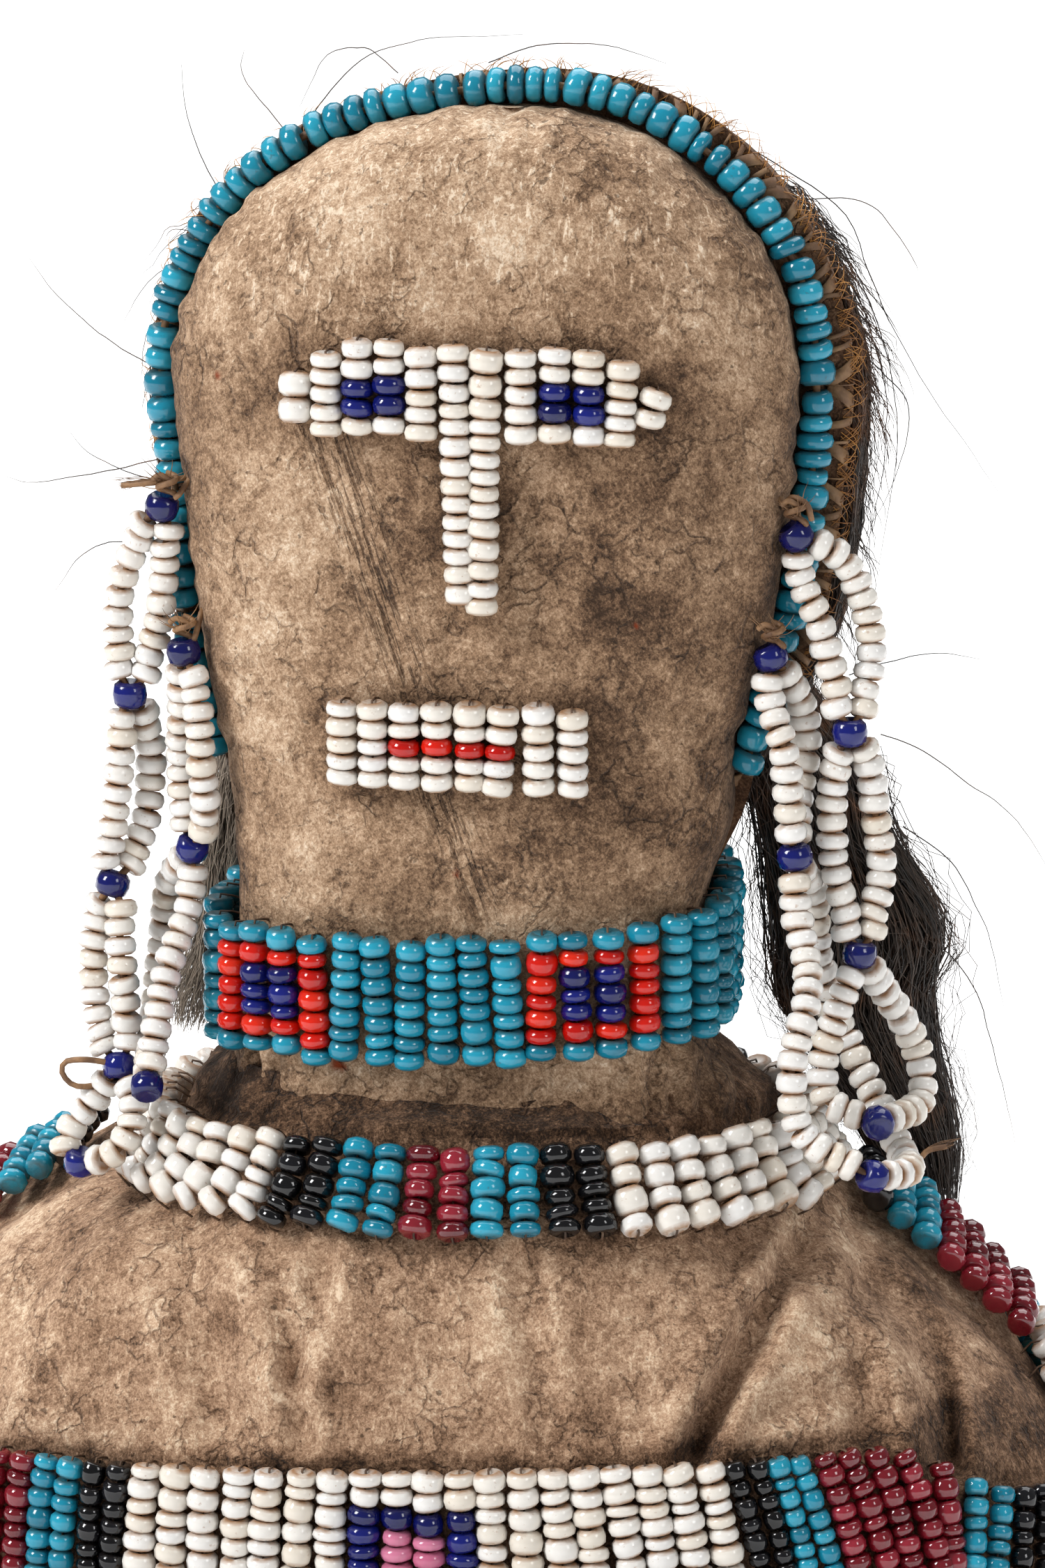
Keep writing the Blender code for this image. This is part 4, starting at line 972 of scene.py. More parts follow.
# Painted shade, with darker hide by the neck: darker by the neck under the head and choker, round the neckline
# lane, under the chest lane and in the two deep folds; lighter along the ridges beside the other folds, a painted
# highlight with some rubbed wear
def yoke_dirt_and_shade(p):
    neck_shade_and_dark_hide = clamp((p.z - 27.5) / 1.6) * (0.95 - 0.3 * clamp((p.x - 8) / 5))
    lane = math.exp(-((p.z - 26.3) / 2.9) ** 4) * 0.55
    chest = clamp(11.3 + 0.05 * p.x - p.z) * 0.6
    folds = crests = 0.0
    if p.y < 0:
        folds = sum(bell(away_from(f[0], p.x, p.z) / f[2] / 0.8) * f[1] for f in YOKE_FOLDS[:2])
        crests = sum(bell((away_from(f[0], p.x, p.z) - 1.9 * f[2]) / 0.5) for f in YOKE_FOLDS[2:])
    return max(neck_shade_and_dark_hide, lane, chest) + 0.2 * folds - 0.3 * crests


dress = skin("dress_hide", yoke_rings, dress_hide, yoke_relief,
             {"dirt_and_shade": yoke_dirt_and_shade, "rubbed": lambda p: 0.4})
settle(dress, "dress_hide", "dress_yoke")


# Bead lanes on the dress: lazy stitch, columns laid side by side and sewn down at both ends only.
# A chart gives the columns' colours outwards from the front's middle, first letter nearest to it.

LANE_GAP = 0.5
LANE_STEP = 0.12
NECK_LANE_TOP_Z = 28.9
NECK_LANE_ROWS = 5
CHEST_LANE_TOP_Z = 10.4
CHEST_LANE_FOOT_Z = 0.6
CHEST_LANE_TILT = 0.05
CHEST_LANE_DIP = ((12.0, 0.3), (24.0, 0.8), (27.5, 1.2), (29.5, 2.6), (31.5, 4.6), (36.0, 6.2))


def yoke_normal(turn, z):
    along_turn = yoke_point(turn + 1.5, z) - yoke_point(turn - 1.5, z)
    along_z = yoke_point(turn, z + 0.4) - yoke_point(turn, z - 0.4)
    return along_z.cross(along_turn).normalized()


def column_turns(z, middle_x, right_widths=(), left_widths=()):
    """Columns round the yoke, both ways from a front middle: (turns to the right, to the left).

    Widths are shares of the pitch, for the columns nearest to the middle. Each turn comes with its width.
    """
    fine = [360 * k / 1440 for k in range(1441)]
    ring = Path([yoke_point(turn, z) for turn in fine])
    start = next(run for run, p in zip(ring.runs, ring.points) if p.y < 0 and p.x <= middle_x)
    total = 2 * round(ring.length / COLUMN_PITCH / 2)

    def turn_at(distance):
        distance %= ring.length
        k = next(n for n, run in enumerate(ring.runs) if run >= distance)
        return fine[k]

    pitch = ring.length / total
    ways = []
    for way, widths in ((-1, right_widths), (1, left_widths)):
        columns, gone = [], 0.0
        while gone + pitch / 2 < ring.length / 2:
            width = widths[len(columns)] if len(columns) < len(widths) else 1.0
            columns.append((turn_at(start + way * (gone + width * pitch / 2)), width))
            gone += width * pitch
        ways.append(columns)
    return ways


def lane_column(turn, top, length, colours, jumble=0.0, slant=0.0, width=1.0):
    """One column down the yoke from a height, over a length measured on the surface."""
    points, normals, z, gone = [], [], top, 0.0
    here = yoke_point(turn, z)
    while gone < length + 1.0 and z > -0.3:
        normal = yoke_normal(turn, z)
        points.append(here + normal * (LANE_GAP + BEAD_WIDTH / 2))
        normals.append(normal)
        z -= LANE_STEP
        there = yoke_point(turn, z)
        gone += (there - here).length
        here = there
    route = Path(points)
    side = Vector((-normals[0].y, normals[0].x, 0)).normalized()
    sway = chance.uniform(-0.03, 0.03) + chance.uniform(-1, 1) * jumble * 0.1 - slant
    shift = chance.uniform(-1, 1) * jumble * 0.5

    def line(distance):
        k = min(len(normals) - 1, int(distance / LANE_STEP))
        return route.at(distance + max(0.0, shift)) + side * sway * (distance - length / 4), normals[k]

    return sewn(strung(line, colours, uneven(len(colours), length / len(colours), 0.3), 0.99 * width))


NECK_LANE_CHART = "BTTKK" + "W" * 15 + "KTB" + "W" * 6 + "KTB"
lane_beads = []
for side_turns in column_turns(NECK_LANE_TOP_Z - 2, 0.2):
    for k, (turn, _) in enumerate(side_turns):
        letter = NECK_LANE_CHART[min(k, len(NECK_LANE_CHART) - 1)]
        loose = clamp((k - 6) / 6) if k < 18 else 0.3
        rows = NECK_LANE_ROWS - 1 if letter == "W" and chance.random() < 0.8 else NECK_LANE_ROWS
        top = NECK_LANE_TOP_Z + chance.uniform(-0.2, 0.2)
        lane_beads += lane_column(turn, top, NECK_LANE_ROWS * BEAD_PITCH, letter * rows, loose)
settle(string_beads("neckline_bead_lane", lane_beads, 51, 0.08, 0.18), "white_beads", "neckline_lane")

MOTIF = ["WWNPPPNN", "WWNNNNNN"]
BARS = "KKTTBBBBBTTKK"
BACK_OF_LANE = "W" * 8 + "TT" + "W" * 10 + "TT" + "W" * 14
narrow_right = [1.0] * 10 + [0.7] * 4 + [0.84] * 5 + [0.8] * 4
narrow_left = [1.0] * 9 + [0.82] * 4 + [0.9] * 5
chest_turns = column_turns(CHEST_LANE_TOP_Z / 2, -0.4, narrow_right, narrow_left)
lane_beads = []
for side_turns, whites in zip(chest_turns, (8, 7)):
    chart = MOTIF + [c * 8 for c in "W" * whites + BARS + BACK_OF_LANE]
    for k, (turn, width) in enumerate(side_turns):
        here = yoke_point(turn, CHEST_LANE_TOP_Z)
        front = clamp(-here.y / 6)
        top = CHEST_LANE_TOP_Z + CHEST_LANE_TILT * here.x - along(CHEST_LANE_DIP, here.x) * front
        length = top - CHEST_LANE_FOOT_Z - 0.1
        colours = (chart[k] + chart[k][-1] * 4)[:round(length / BEAD_PITCH)]
        slant = 0.55 * clamp((here.x - 28.0) / 3.0) * front
        lane_beads += lane_column(turn, top, length, colours, 0.12, slant, width)
settle(string_beads("chest_bead_lane", lane_beads, 52, 0.08, 0.12), "white_beads", "chest_lane")

SHOULDER_CHART = "KTTBBBB"
RIDGE_STEP = 0.05
ARC_POINTS, ARC_STEP = 60, 0.5
for side, name in ((1, "right"), (-1, "left")):
    ridge = 0 if side > 0 else 180
    z, gone = NECK_LANE_TOP_Z, 0.0
    here = yoke_point(ridge, z)
    while gone < NECK_LANE_ROWS * BEAD_PITCH:
        z -= RIDGE_STEP
        there = yoke_point(ridge, z)
        gone += (there - here).length
        here = there
    z -= BEAD_WIDTH * 0.9
    spine = Path([yoke_point(ridge, z - RIDGE_STEP * k) for k in range(int(z / RIDGE_STEP))])
    lane_beads = []
    for k, letter in enumerate(SHOULDER_CHART):
        level = spine.at((k + 0.5) * COLUMN_PITCH).z
        arc_turns = [ridge - side * ARC_STEP * n for n in range(ARC_POINTS)]
        normals = [yoke_normal(turn, level) for turn in arc_turns]
        route = Path([yoke_point(turn, level) + normal * (LANE_GAP + BEAD_WIDTH / 2)
                      for turn, normal in zip(arc_turns, normals)])
        per_mm = ARC_POINTS / route.length
        lane_beads += strung(lambda s: (route.at(s), normals[min(ARC_POINTS - 1, int(s * per_mm))]),
                             letter * 5, uneven(5, BEAD_PITCH), 0.97)
    settle(string_beads(f"shoulder_bead_lane_{name}", lane_beads, 53, 0.08, 0.12), "burgundy_beads",
           f"shoulder_lane_{name}")


# Ear strands: pairs of white bead strands on sinew thread that meet in cobalt spacer beads, and knot
# to the hide at the head's edge. Each pair lists its meeting points, then the bends of both strands
# between one and the next, all as (out past the head's edge, forward, height).

STRAND_PAIRS = {
    "left_outer": (-1, ((-1.0, 3.0, 68.0), (3.4, 2.8, 55.9), (6.5, 3.0, 43.6), (5.5, 4.5, 32.0),
                        (7.5, 5.7, 25.9)), (
        ((1.0, 2.8, 65.5), (2.5, 2.7, 62.4), (3.2, 2.7, 59.3)),
        ((-0.7, 2.8, 64.4), (0.0, 2.7, 61.6), (1.2, 2.6, 58.8)),
        ((4.7, 2.9, 53.0), (5.5, 3.0, 49.9), (6.3, 3.0, 46.4)),
        ((3.2, 1.5, 53.2), (3.6, 1.3, 50.5), (4.5, 1.7, 46.9)),
        ((7.7, 3.1, 40.7), (7.9, 3.3, 37.6), (7.2, 3.8, 34.5)),
        ((6.1, 3.8, 40.5), (5.8, 4.0, 37.8), (5.4, 4.1, 34.7)),
        ((6.9, 4.5, 29.9), (8.3, 4.9, 27.8), (8.5, 5.3, 26.5)),
        ((4.2, 5.5, 30.2), (4.1, 6.5, 28.2), (5.4, 6.7, 26.6)),
    )),
    "left_inner": (-1, ((-1.3, 4.4, 59.0), (1.1, 3.0, 46.1), (2.9, 8.0, 31.6)), (
        ((-0.2, 3.7, 55.9), (1.0, 2.8, 52.2), (1.3, 2.9, 49.1)),
        ((-1.4, 5.2, 55.6), (-0.7, 5.0, 52.1), (-0.3, 4.2, 48.8)),
        ((1.5, 3.7, 42.4), (2.6, 5.3, 38.8), (2.9, 6.7, 35.2)),
        ((3.2, 0.9, 43.4), (4.1, 0.1, 39.3), (4.3, 0.7, 35.2)),
    )),
    "right_outer": (1, ((1.0, 3.0, 67.1), (6.8, 3.0, 54.8), (9.3, 3.2, 40.7), (10.1, 5.5, 30.4)), (
        ((1.6, 3.0, 64.4), (3.1, 3.0, 61.8), (4.5, 3.0, 58.8)),
        ((3.8, 2.1, 65.7), (5.6, 1.7, 62.8), (6.8, 1.9, 59.1)),
        ((6.5, 3.0, 52.1), (6.8, 3.0, 49.0), (7.5, 3.0, 45.5)),
        ((8.5, 2.1, 52.5), (9.4, 1.9, 49.3), (10.2, 1.9, 45.3)),
        ((7.7, 4.3, 36.4), (6.9, 4.9, 33.8), (7.1, 5.3, 31.6)),
        ((11.7, 0.3, 35.8), (12.5, -0.1, 33.0), (12.3, 1.5, 30.7)),
    )),
    "right_inner": (1, ((0.6, 3.5, 59.5), (4.9, 4.7, 47.1), (10.0, 9.6, 28.0)), (
        ((1.3, 4.1, 56.9), (3.0, 4.7, 54.1), (4.1, 4.8, 50.6)),
        ((2.9, 2.1, 56.8), (4.1, 1.7, 54.1), (4.4, 2.3, 50.6)),
        ((5.4, 5.3, 43.6), (6.3, 6.3, 40.7), (6.5, 7.9, 38.4), (5.6, 9.5, 34.7), (5.9, 9.9, 30.6)),
        ((6.1, 1.6, 43.9), (6.3, 0.6, 40.5), (7.1, -0.2, 36.5), (8.6, 0.0, 32.7),
         (10.9, 2.4, 28.2), (11.9, 6.4, 27.6)),
    )),
}
SPACER_HEIGHT = 1.75
BEADS_APART, BEADS_CLOSER_END_ON = 1.85, 0.65


def strand_beads(side, knots, bends):
    """Beads of one pair of strands, with beads of different strands pushed clear of each other."""
    forward = Vector((0, -1, 0))
    beads, owner, met = [], [], {}
    for strand, between in enumerate(bends):
        ends = (strand // 2, strand // 2 + 1)
        route = (knots[ends[0]], *between, knots[ends[1]])
        points = [Vector((side * (half_width(z) + out), SEAM_Y - proud, z)) for out, proud, z in route]
        path = Path(smooth_path(points, 10))
        done = SPACER_HEIGHT / 2 + 0.1
        length = path.length - 2 * done
        count = round(length / BEAD_PITCH)
        for high in uneven(count, length / count, 0.15):
            ahead = (path.at(done + high) - path.at(done)).normalized()
            beads.append([path.at(done + high / 2), ahead, forward, high, "W", chance.uniform(0.94, 1.03)])
            owner.append(strand)
            done += high
        for end, spot, near in zip(ends, (points[0], points[-1]), (path.at(2.0), path.at(path.length - 2.0))):
            way = (near - spot).normalized()
            met.setdefault(end, [spot, Vector((0, 0, 0))])[1] += way if way.z > 0 else -way
    for spot, way in met.values():
        beads.append([spot, way.normalized(), forward, SPACER_HEIGHT, "N", 1.04])
        owner.append(-1)
    for _ in range(24):
        for i in range(len(beads)):
            for j in range(i + 1, len(beads)):
                if owner[i] == owner[j]:
                    continue
                gap = beads[j][0] - beads[i][0]
                upright = abs(gap.normalized().dot(beads[i][1]))
                need = BEADS_APART - BEADS_CLOSER_END_ON * upright ** 2
                if gap.length < need:
                    push = gap.normalized() * (need - gap.length) * 0.3
                    push.z *= 0.3
                    beads[i][0] -= push * (0.3 if owner[i] < 0 else 1)
                    beads[j][0] += push * (0.3 if owner[j] < 0 else 1)
    for strand in range(len(bends)):
        own = [bead[0] for bead, of in zip(beads, owner) if of == strand]
        strand_threads.append([met[strand // 2][0]] + own + [met[strand // 2 + 1][0]])
    return beads


for name, (side, knots, bends) in STRAND_PAIRS.items():
    beads = strand_beads(side, knots, bends)
    settle(string_beads(f"ear_strands_{name}", beads, 61, 0.05, 0.15), "white_beads", f"earring_{name}")


# Horsehair: long dark hair sewn along the crown, lying down the back of the head, and a thick wavy
# lock of it behind the neck at the viewer's right. Each hair is a thin tapered tube.

HAIR_FOOT_Z = 50.0
HAIR_THICKNESS = 3.0
HAIR_SPREAD = 74.0
HAIR_TOP_Z = 89.0
HAIR_GAP = 0.9


def hair_fibre(name, dark, light, rust, share):
    """Horsehair: dark medulla under clear scales, so a dull streak of shine runs across the strands."""
    made, tree, shader, mm = new_material(name)
    base = mixed(tree, marked(tree, "tone"), dark, light)
    sunned = product(tree, blotches(tree, mm, 4.0, 0.5, 0.75), share)
    plug(tree, shader, {"Base Color": mixed(tree, sunned, base, rust), "Roughness": 0.5, "IOR": 1.55})
    return made


def handed_out(tree, shape, finish):
    """Ends a tree: what it has made gets its material."""
    solid = first(tree, "GeometryNodeRealizeInstances", {0: shape})
    solid = first(tree, "GeometryNodeSetMaterial", {0: solid, 2: finish})
    add(tree, "NodeGroupOutput", {0: solid})
    return tree


def hair_growing(finish):
    """The tree: rounds chosen hair routes, frizzes them and skins each into a thin tube."""
    tree, given = growing_tree("hair growing", "Routes", ("Hair radius", "Frizz"),
                               ("Points per hair", "Sides", "Seed"))
    tone, loose, thick = (named(tree, label) for label in ("tone", "loose", "thick"))
    lines = first(tree, "GeometryNodeMeshToCurve", {0: given["Routes"]})
    lines = first(tree, "GeometryNodeCurveSplineType", {0: lines}, spline_type="CATMULL_ROM")
    lines = first(tree, "GeometryNodeResampleCurve", {0: lines, "Count": given["Points per hair"]})
    drift = vector(tree, "SCALE", (31.0, 17.0, 5.0), Scale=tone)
    seeded = vector(tree, "ADD", drift, triple(tree, given["Seed"]))
    at = first(tree, "GeometryNodeInputPosition")
    where = vector(tree, "MULTIPLY_ADD", at, (330.0, 330.0, 330.0), seeded)
    wind = add(tree, "ShaderNodeTexNoise", {"Vector": where, "Scale": 1.0, "Detail": 2.0}).outputs[1]
    swing = vector(tree, "SUBTRACT", wind, (0.5, 0.5, 0.5))
    offset = vector(tree, "SCALE", swing, Scale=product(tree, given["Frizz"], loose))
    lines = first(tree, "GeometryNodeSetPosition", {0: lines, "Offset": offset})
    ring = first(tree, "GeometryNodeCurvePrimitiveCircle", {"Resolution": given["Sides"], "Radius": 1.0})
    radius = product(tree, thick, given["Hair radius"])
    tubes = first(tree, "GeometryNodeCurveToMesh", {0: lines, 1: ring, "Scale": radius, "Fill Caps": True})
    return handed_out(tree, first(tree, "GeometryNodeSetShadeSmooth", {0: tubes}), finish)


def hairs(name, routes, finish, radius, frizz=0.0, points=18, sides=3, seed=1, taper=0.75):
    """Routes are lists of chosen points in mm; each becomes one hair, thinner by its taper at the tip."""
    places, edges, thick, tone, loose = [], [], [], [], []
    for route in routes:
        own = chance.random()
        for k, p in enumerate(route):
            if k:
                edges.append((len(places) - 1, len(places)))
            share = k / (len(route) - 1)
            places.append(p)
            thick.append(1.0 - taper * share ** 2)
            tone.append(own)
            loose.append(min(1.0, share * 4))
    source = helper_points(name, places, edges, thick=thick, tone=tone, loose=loose)
    return grown(name, source, hair_growing(finish), {
        "Hair radius": radius * MM, "Frizz": frizz * MM, "Points per hair": points, "Sides": sides,
        "Seed": seed})


horsehair = hair_fibre("dark horsehair", "#140E0A", "#3E2D20", "#8A5426", 0.5)


def back_hair_route(across, depth, start, end, wander):
    """One hair down the back of the head, from the crown to the nape."""
    route = []
    for k in range(8):
        down = k / 7
        z = start + (end - start) * down
        rise = clamp((z - HAIR_FOOT_Z) / (HAIR_TOP_Z - HAIR_FOOT_Z))
        turn = 90 + HAIR_SPREAD * (across + wander * down * (1 - down)) * (1 - 0.3 * rise ** 3)
        full = math.sqrt(max(0.02, 1 - rise ** 4))
        edge = math.cos(math.pi / 2 * 0.92 * min(1.0, across * across))
        laid = min(1.0, k / 2.5) * (1 - 0.55 * down ** 3)
        proud = 0.05 + (HAIR_GAP + (0.2 + HAIR_THICKNESS * edge * full) * depth) * laid
        route.append(back_point(z, turn, proud))
    return route


coat = []
for k in range(1100):
    across = chance.uniform(-1, 1)
    coat.append(back_hair_route(across, chance.uniform(0.05, 1.0) ** 0.5, chance.uniform(72, 91.0),
                                chance.uniform(50.0, 64.0) if k % 3 else 50.2, chance.uniform(-0.12, 0.12)))
settle(hairs("horsehair_back", coat, horsehair, 0.085, 0.9, 18, 3, 3), "horsehair", "hair_back")

# Stations of the two locks from the root down: across, back, down and radius
LOCK_RIGHT = ((-4.0, -3.8, -9.0, 0.9), (-2.2, -3.4, -4.0, 2.8), (-0.6, -3.0, 0.0, 4.4), (0.4, -2.5, 3.4, 4.6),
              (2.7, -2.0, 10.2, 6.3), (2.3, -1.5, 14.6, 5.6), (3.9, 0.0, 19.4, 4.6), (5.9, 1.7, 24.9, 3.6),
              (7.4, 3.2, 30.9, 1.6))
LOCK_LEFT = ((2.2, -5.0, -7.0, 0.4), (1.4, -4.0, -3.0, 1.2), (0.7, -3.0, 0.0, 2.4), (-0.6, -4.3, 5.4, 1.6),
             (-1.2, -5.3, 11.4, 1.8), (-2.4, -5.5, 15.9, 2.8), (-3.0, -5.5, 18.0, 2.2))
LEFT_LOCK_X = -(NECK_HALF_WIDTH + CLEARANCE + BEAD_WIDTH)


def lock_routes(beside, stations, count, spread):
    """Hairs of a lock, each at its own place in the bundle; some end early, a few stand off it."""
    behind, top = SEAM_Y + BACK_DEPTH, HAIR_FOOT_Z - 2 * CLEARANCE
    routes = []
    for _ in range(count):
        turn, share = chance.uniform(0, 2 * math.pi), math.sqrt(chance.random()) * spread
        twist = chance.uniform(-0.7, 0.7)
        last = len(stations) if chance.random() < 0.6 else len(stations) - 1
        route = []
        for n, (across, back, down, radius) in enumerate(stations[:last]):
            angle = turn + twist * n * 0.35
            own = radius * share * (0.93 + 0.06 * math.sin(turn * 3 + n) + 0.05 * math.sin(turn * 7 + 2 * n))
            down += chance.uniform(-0.6, 0.6) if 0 < n < last - 1 else 0.0
            x, y = beside + across + math.cos(angle) * own, behind + back + 0.8 * math.sin(angle) * own
            route.append(Vector((x, y, top - down)))
        route[-1] = route[-2].lerp(route[-1], chance.uniform(0.45, 1.0))
        routes.append(route)
    return routes


grey_hair = hair_fibre("grey-brown hair, dusty", "#4A3E34", "#9A8B7A", "#8A6A48", 0.4)
right, left = (HEAD_HALF_WIDTH, LOCK_RIGHT), (LEFT_LOCK_X, LOCK_LEFT)

# Each lock is a bundle and, round it, some thinner and frizzier hair
for name, lock, count, spread, finish, radius, frizz, points, seed, slot, nodes in (
        ("horsehair_lock", right, 1300, 1.0, horsehair, 0.085, 1.0, 20, 5, "horsehair", ["hair_lock_right"]),
        ("horsehair_lock_loose", right, 260, 1.3, horsehair, 0.035, 5.5, 30, 6, "horsehair", []),
        ("grey_lock", left, 520, 1.0, grey_hair, 0.06, 1.6, 19, 7, "grey_hair", ["hair_lock_left"]),
        ("grey_lock_loose", left, 110, 1.5, grey_hair, 0.035, 4.0, 24, 8, "grey_hair", [])):
    routes = lock_routes(*lock, count, spread)
    settle(hairs(name, routes, finish, radius, frizz, points, 3, seed), slot, *nodes)


# Hair at the rim: rusty hair caught in the seam, dark hair standing off behind it, and long single
# hairs. The long ones are routes listed in (x, y, z).

RIM_FOOT_Z = 50.0
RIM_SIDE = HEAD_WIDEST_Z - RIM_FOOT_Z
RIM_ARCH = math.pi * (HEAD_HALF_WIDTH + BACK_LIP)
RIM_LENGTH = 2 * RIM_SIDE + RIM_ARCH


def rim_point(share, proud=0.0, behind=0.0):
    """A point on the back panel's front edge, from low right over the crown to low left."""
    gone = share * RIM_LENGTH
    if gone < RIM_SIDE or gone > RIM_SIDE + RIM_ARCH:
        z = RIM_FOOT_Z + min(gone, RIM_LENGTH - gone)
        side = 1 if share < 0.5 else -1
        x = lean(z) + BACK_SKEW * back_flare(z) + side * (back_half_width(z) + proud)
    else:
        angle = math.pi * (gone - RIM_SIDE) / RIM_ARCH
        rise = (HEAD_TOP_Z + BACK_RISE - HEAD_WIDEST_Z + proud) * math.sin(angle) ** (2 / HEAD_ARCH_POWER)
        z = HEAD_WIDEST_Z + rise
        x = lean(min(z, HEAD_TOP_Z)) + BACK_SKEW + (HEAD_HALF_WIDTH + BACK_LIP + proud) * math.cos(angle)
    return Vector((x, BACK_FRONT_Y + behind, z))


def rim_outward(share):
    ahead = rim_point(min(1.0, share + 0.004)) - rim_point(max(0.0, share - 0.004))
    return Vector((ahead.z, 0, -ahead.x)).normalized()


rusty_hair = hair_fibre("sun-rusted hair", "#7A4A1E", "#C4873C", "#D09A4C", 0.5)
tufts = []
for k in range(420):
    share = chance.uniform(0.02, 0.98) if k % 3 else chance.uniform(0.02, 0.4)
    outward = rim_outward(share)
    ahead = Vector((-outward.z, 0, outward.x))
    reach, drift = chance.uniform(0.1, 0.9), chance.uniform(-2.2, 2.2)
    root = rim_point(share, -0.5, -0.15)
    tip = rim_point(share, 0.2, chance.uniform(0.2, 1.4)) + outward * reach * 0.7 + ahead * drift
    middle = root.lerp(tip, 0.5) + outward * 0.35 + Vector((0, -0.2, 0))
    tufts.append([root, middle, tip])
settle(hairs("rusty_tufts", tufts, rusty_hair, 0.035, 0.7, 8, 3, 9), "horsehair")

fringe = []
for k in range(620):
    share = 0.04 + 0.31 * chance.random() ** 0.8 if k % 12 else chance.uniform(0.66, 0.93)
    outward = rim_outward(share)
    down = Vector((outward.z, 0, -outward.x)) * (1 if share < 0.5 else -1)
    top_fade = min(1.0, max(0.15, (0.36 - share) / 0.12)) if share < 0.5 else 0.5
    length, off = chance.uniform(2.5, 9.0), chance.random() ** 2.2 * 3.2 * top_fade
    root = rim_point(share, -0.9, chance.uniform(0.8, 5.5))
    fringe.append([root, root + down * length * 0.35 + outward * (0.75 + off * 0.3),
                   root + down * length * 0.7 + outward * (0.7 + off * 0.75),
                   root + down * length + outward * (0.3 + off)])
settle(hairs("dark_fringe", fringe, horsehair, 0.036, 2.2, 13, 3, 10), "horsehair")

# Hair that lies on the side of the head from the rim backwards, mostly at the viewer's right
side_hair = []
for k in range(900):
    right = k % 5 != 0
    turn, wander = chance.uniform(2.5, 24), chance.uniform(-3, 3)
    start, end = chance.uniform(62, 85), chance.uniform(49.5, 60)
    proud = chance.uniform(0.05, 0.75)
    route = []
    for n in range(6):
        z = start + (min(end, start - 6) - start) * n / 5
        at = max(1.5, turn + wander * n / 5)
        route.append(back_point(z, at if right else 180 - at, proud * min(1.0, 0.3 + n / 2)))
    side_hair.append(route)
settle(hairs("side_hair", side_hair, horsehair, 0.07, 0.9, 13, 3, 16), "horsehair")

LONG_HAIRS = (
    ((-13.0, -2.0, 89.0), (-10.3, -1.0, 92.7), (-7.7, 0.0, 95.7), (-3.2, 1.0, 96.9), (2.3, 2.0, 97.1)),
    ((-12.0, 0.0, 90.0), (-14.1, 1.0, 92.4), (-15.9, 2.0, 94.3), (-16.0, 3.0, 95.8)),
    ((-16.0, 2.0, 85.0), (-17.4, 3.0, 86.4), (-19.1, 4.0, 88.9), (-20.1, 4.5, 91.9), (-20.5, 5.0, 94.6)),
    ((-20.0, 2.0, 75.0), (-22.6, 3.0, 75.6), (-26.3, 4.0, 77.6), (-29.3, 5.0, 80.1), (-30.9, 5.5, 82.1)),
    ((-20.5, 1.0, 68.0), (-23.0, 2.0, 68.4), (-24.8, 3.0, 68.9), (-26.9, 4.0, 69.6), (-28.2, 4.5, 70.9)),
    ((-21.5, 3.0, 69.4), (-25.3, 4.0, 68.4), (-27.9, 4.5, 67.8), (-30.6, 5.0, 67.3), (-32.7, 5.5, 67.6)),
    ((-21.0, 3.0, 64.0), (-24.9, 4.0, 63.7), (-27.5, 4.5, 62.6), (-29.4, 5.0, 60.0)),
    ((16.0, -1.0, 91.0), (19.1, 1.0, 88.9), (22.7, 3.0, 86.0), (24.2, 4.0, 82.0), (26.3, 5.0, 77.1),
     (28.8, 6.0, 73.1), (32.4, 7.0, 67.7)),
    ((18.0, 0.0, 86.5), (20.7, 2.0, 87.0), (24.2, 4.0, 86.5), (26.7, 5.0, 83.1), (27.1, 5.5, 82.1)),
    ((22.0, 2.0, 78.5), (25.0, 3.0, 76.1), (26.8, 4.0, 73.6), (26.1, 4.5, 69.5), (23.9, 4.5, 64.9)),
    ((19.0, 1.0, 86.0), (21.7, 3.0, 84.5), (25.2, 4.0, 79.6), (26.2, 4.0, 78.1)),
    ((22.5, 4.0, 82.0), (24.0, 5.0, 79.0), (25.2, 6.0, 73.0), (24.4, 6.0, 66.0), (23.0, 5.0, 60.0)),
    ((20.0, 3.0, 84.0), (23.5, 4.0, 81.5), (25.5, 5.0, 76.0), (25.8, 6.0, 70.0), (24.6, 6.0, 62.0)),
    ((25.0, 6.0, 52.0), (27.1, 6.5, 51.2), (30.6, 7.0, 48.8), (33.7, 7.5, 46.3), (35.9, 8.0, 42.8)),
    ((23.0, 5.0, 56.0), (25.5, 6.0, 56.8), (28.5, 7.0, 57.2), (31.5, 8.0, 56.7)),
    ((26.5, 6.0, 46.0), (29.5, 7.0, 43.5), (31.8, 8.0, 39.0), (33.0, 8.5, 33.5)),
    ((26.0, 7.0, 40.0), (30.5, 8.0, 36.0), (32.5, 9.0, 30.0), (33.8, 10.0, 24.0)),
    ((0.0, 2.0, 95.3), (3.5, 3.0, 96.4), (7.5, 4.0, 96.3), (11.0, 5.0, 95.2)),
    ((-6.0, 3.0, 94.5), (-8.5, 5.0, 95.9), (-11.5, 8.0, 95.0), (-14.0, 11.0, 91.5)),
    ((4.0, 8.0, 92.0), (1.0, 13.0, 90.5), (-2.5, 15.5, 85.0), (-4.5, 16.0, 77.0)),
    ((8.0, 9.0, 88.0), (11.5, 13.5, 84.0), (13.0, 15.5, 77.0), (11.0, 16.0, 68.0)),
)
settle(hairs("stray_hairs", LONG_HAIRS, horsehair, 0.05, 0.5, 30, 3, 11), "horsehair")


# Rim stitching: flat strips of split sinew, whipped over the edge of the back panel in a zigzag. Dry
# sinew is pale brown and dull, with a faint lengthwise grain.


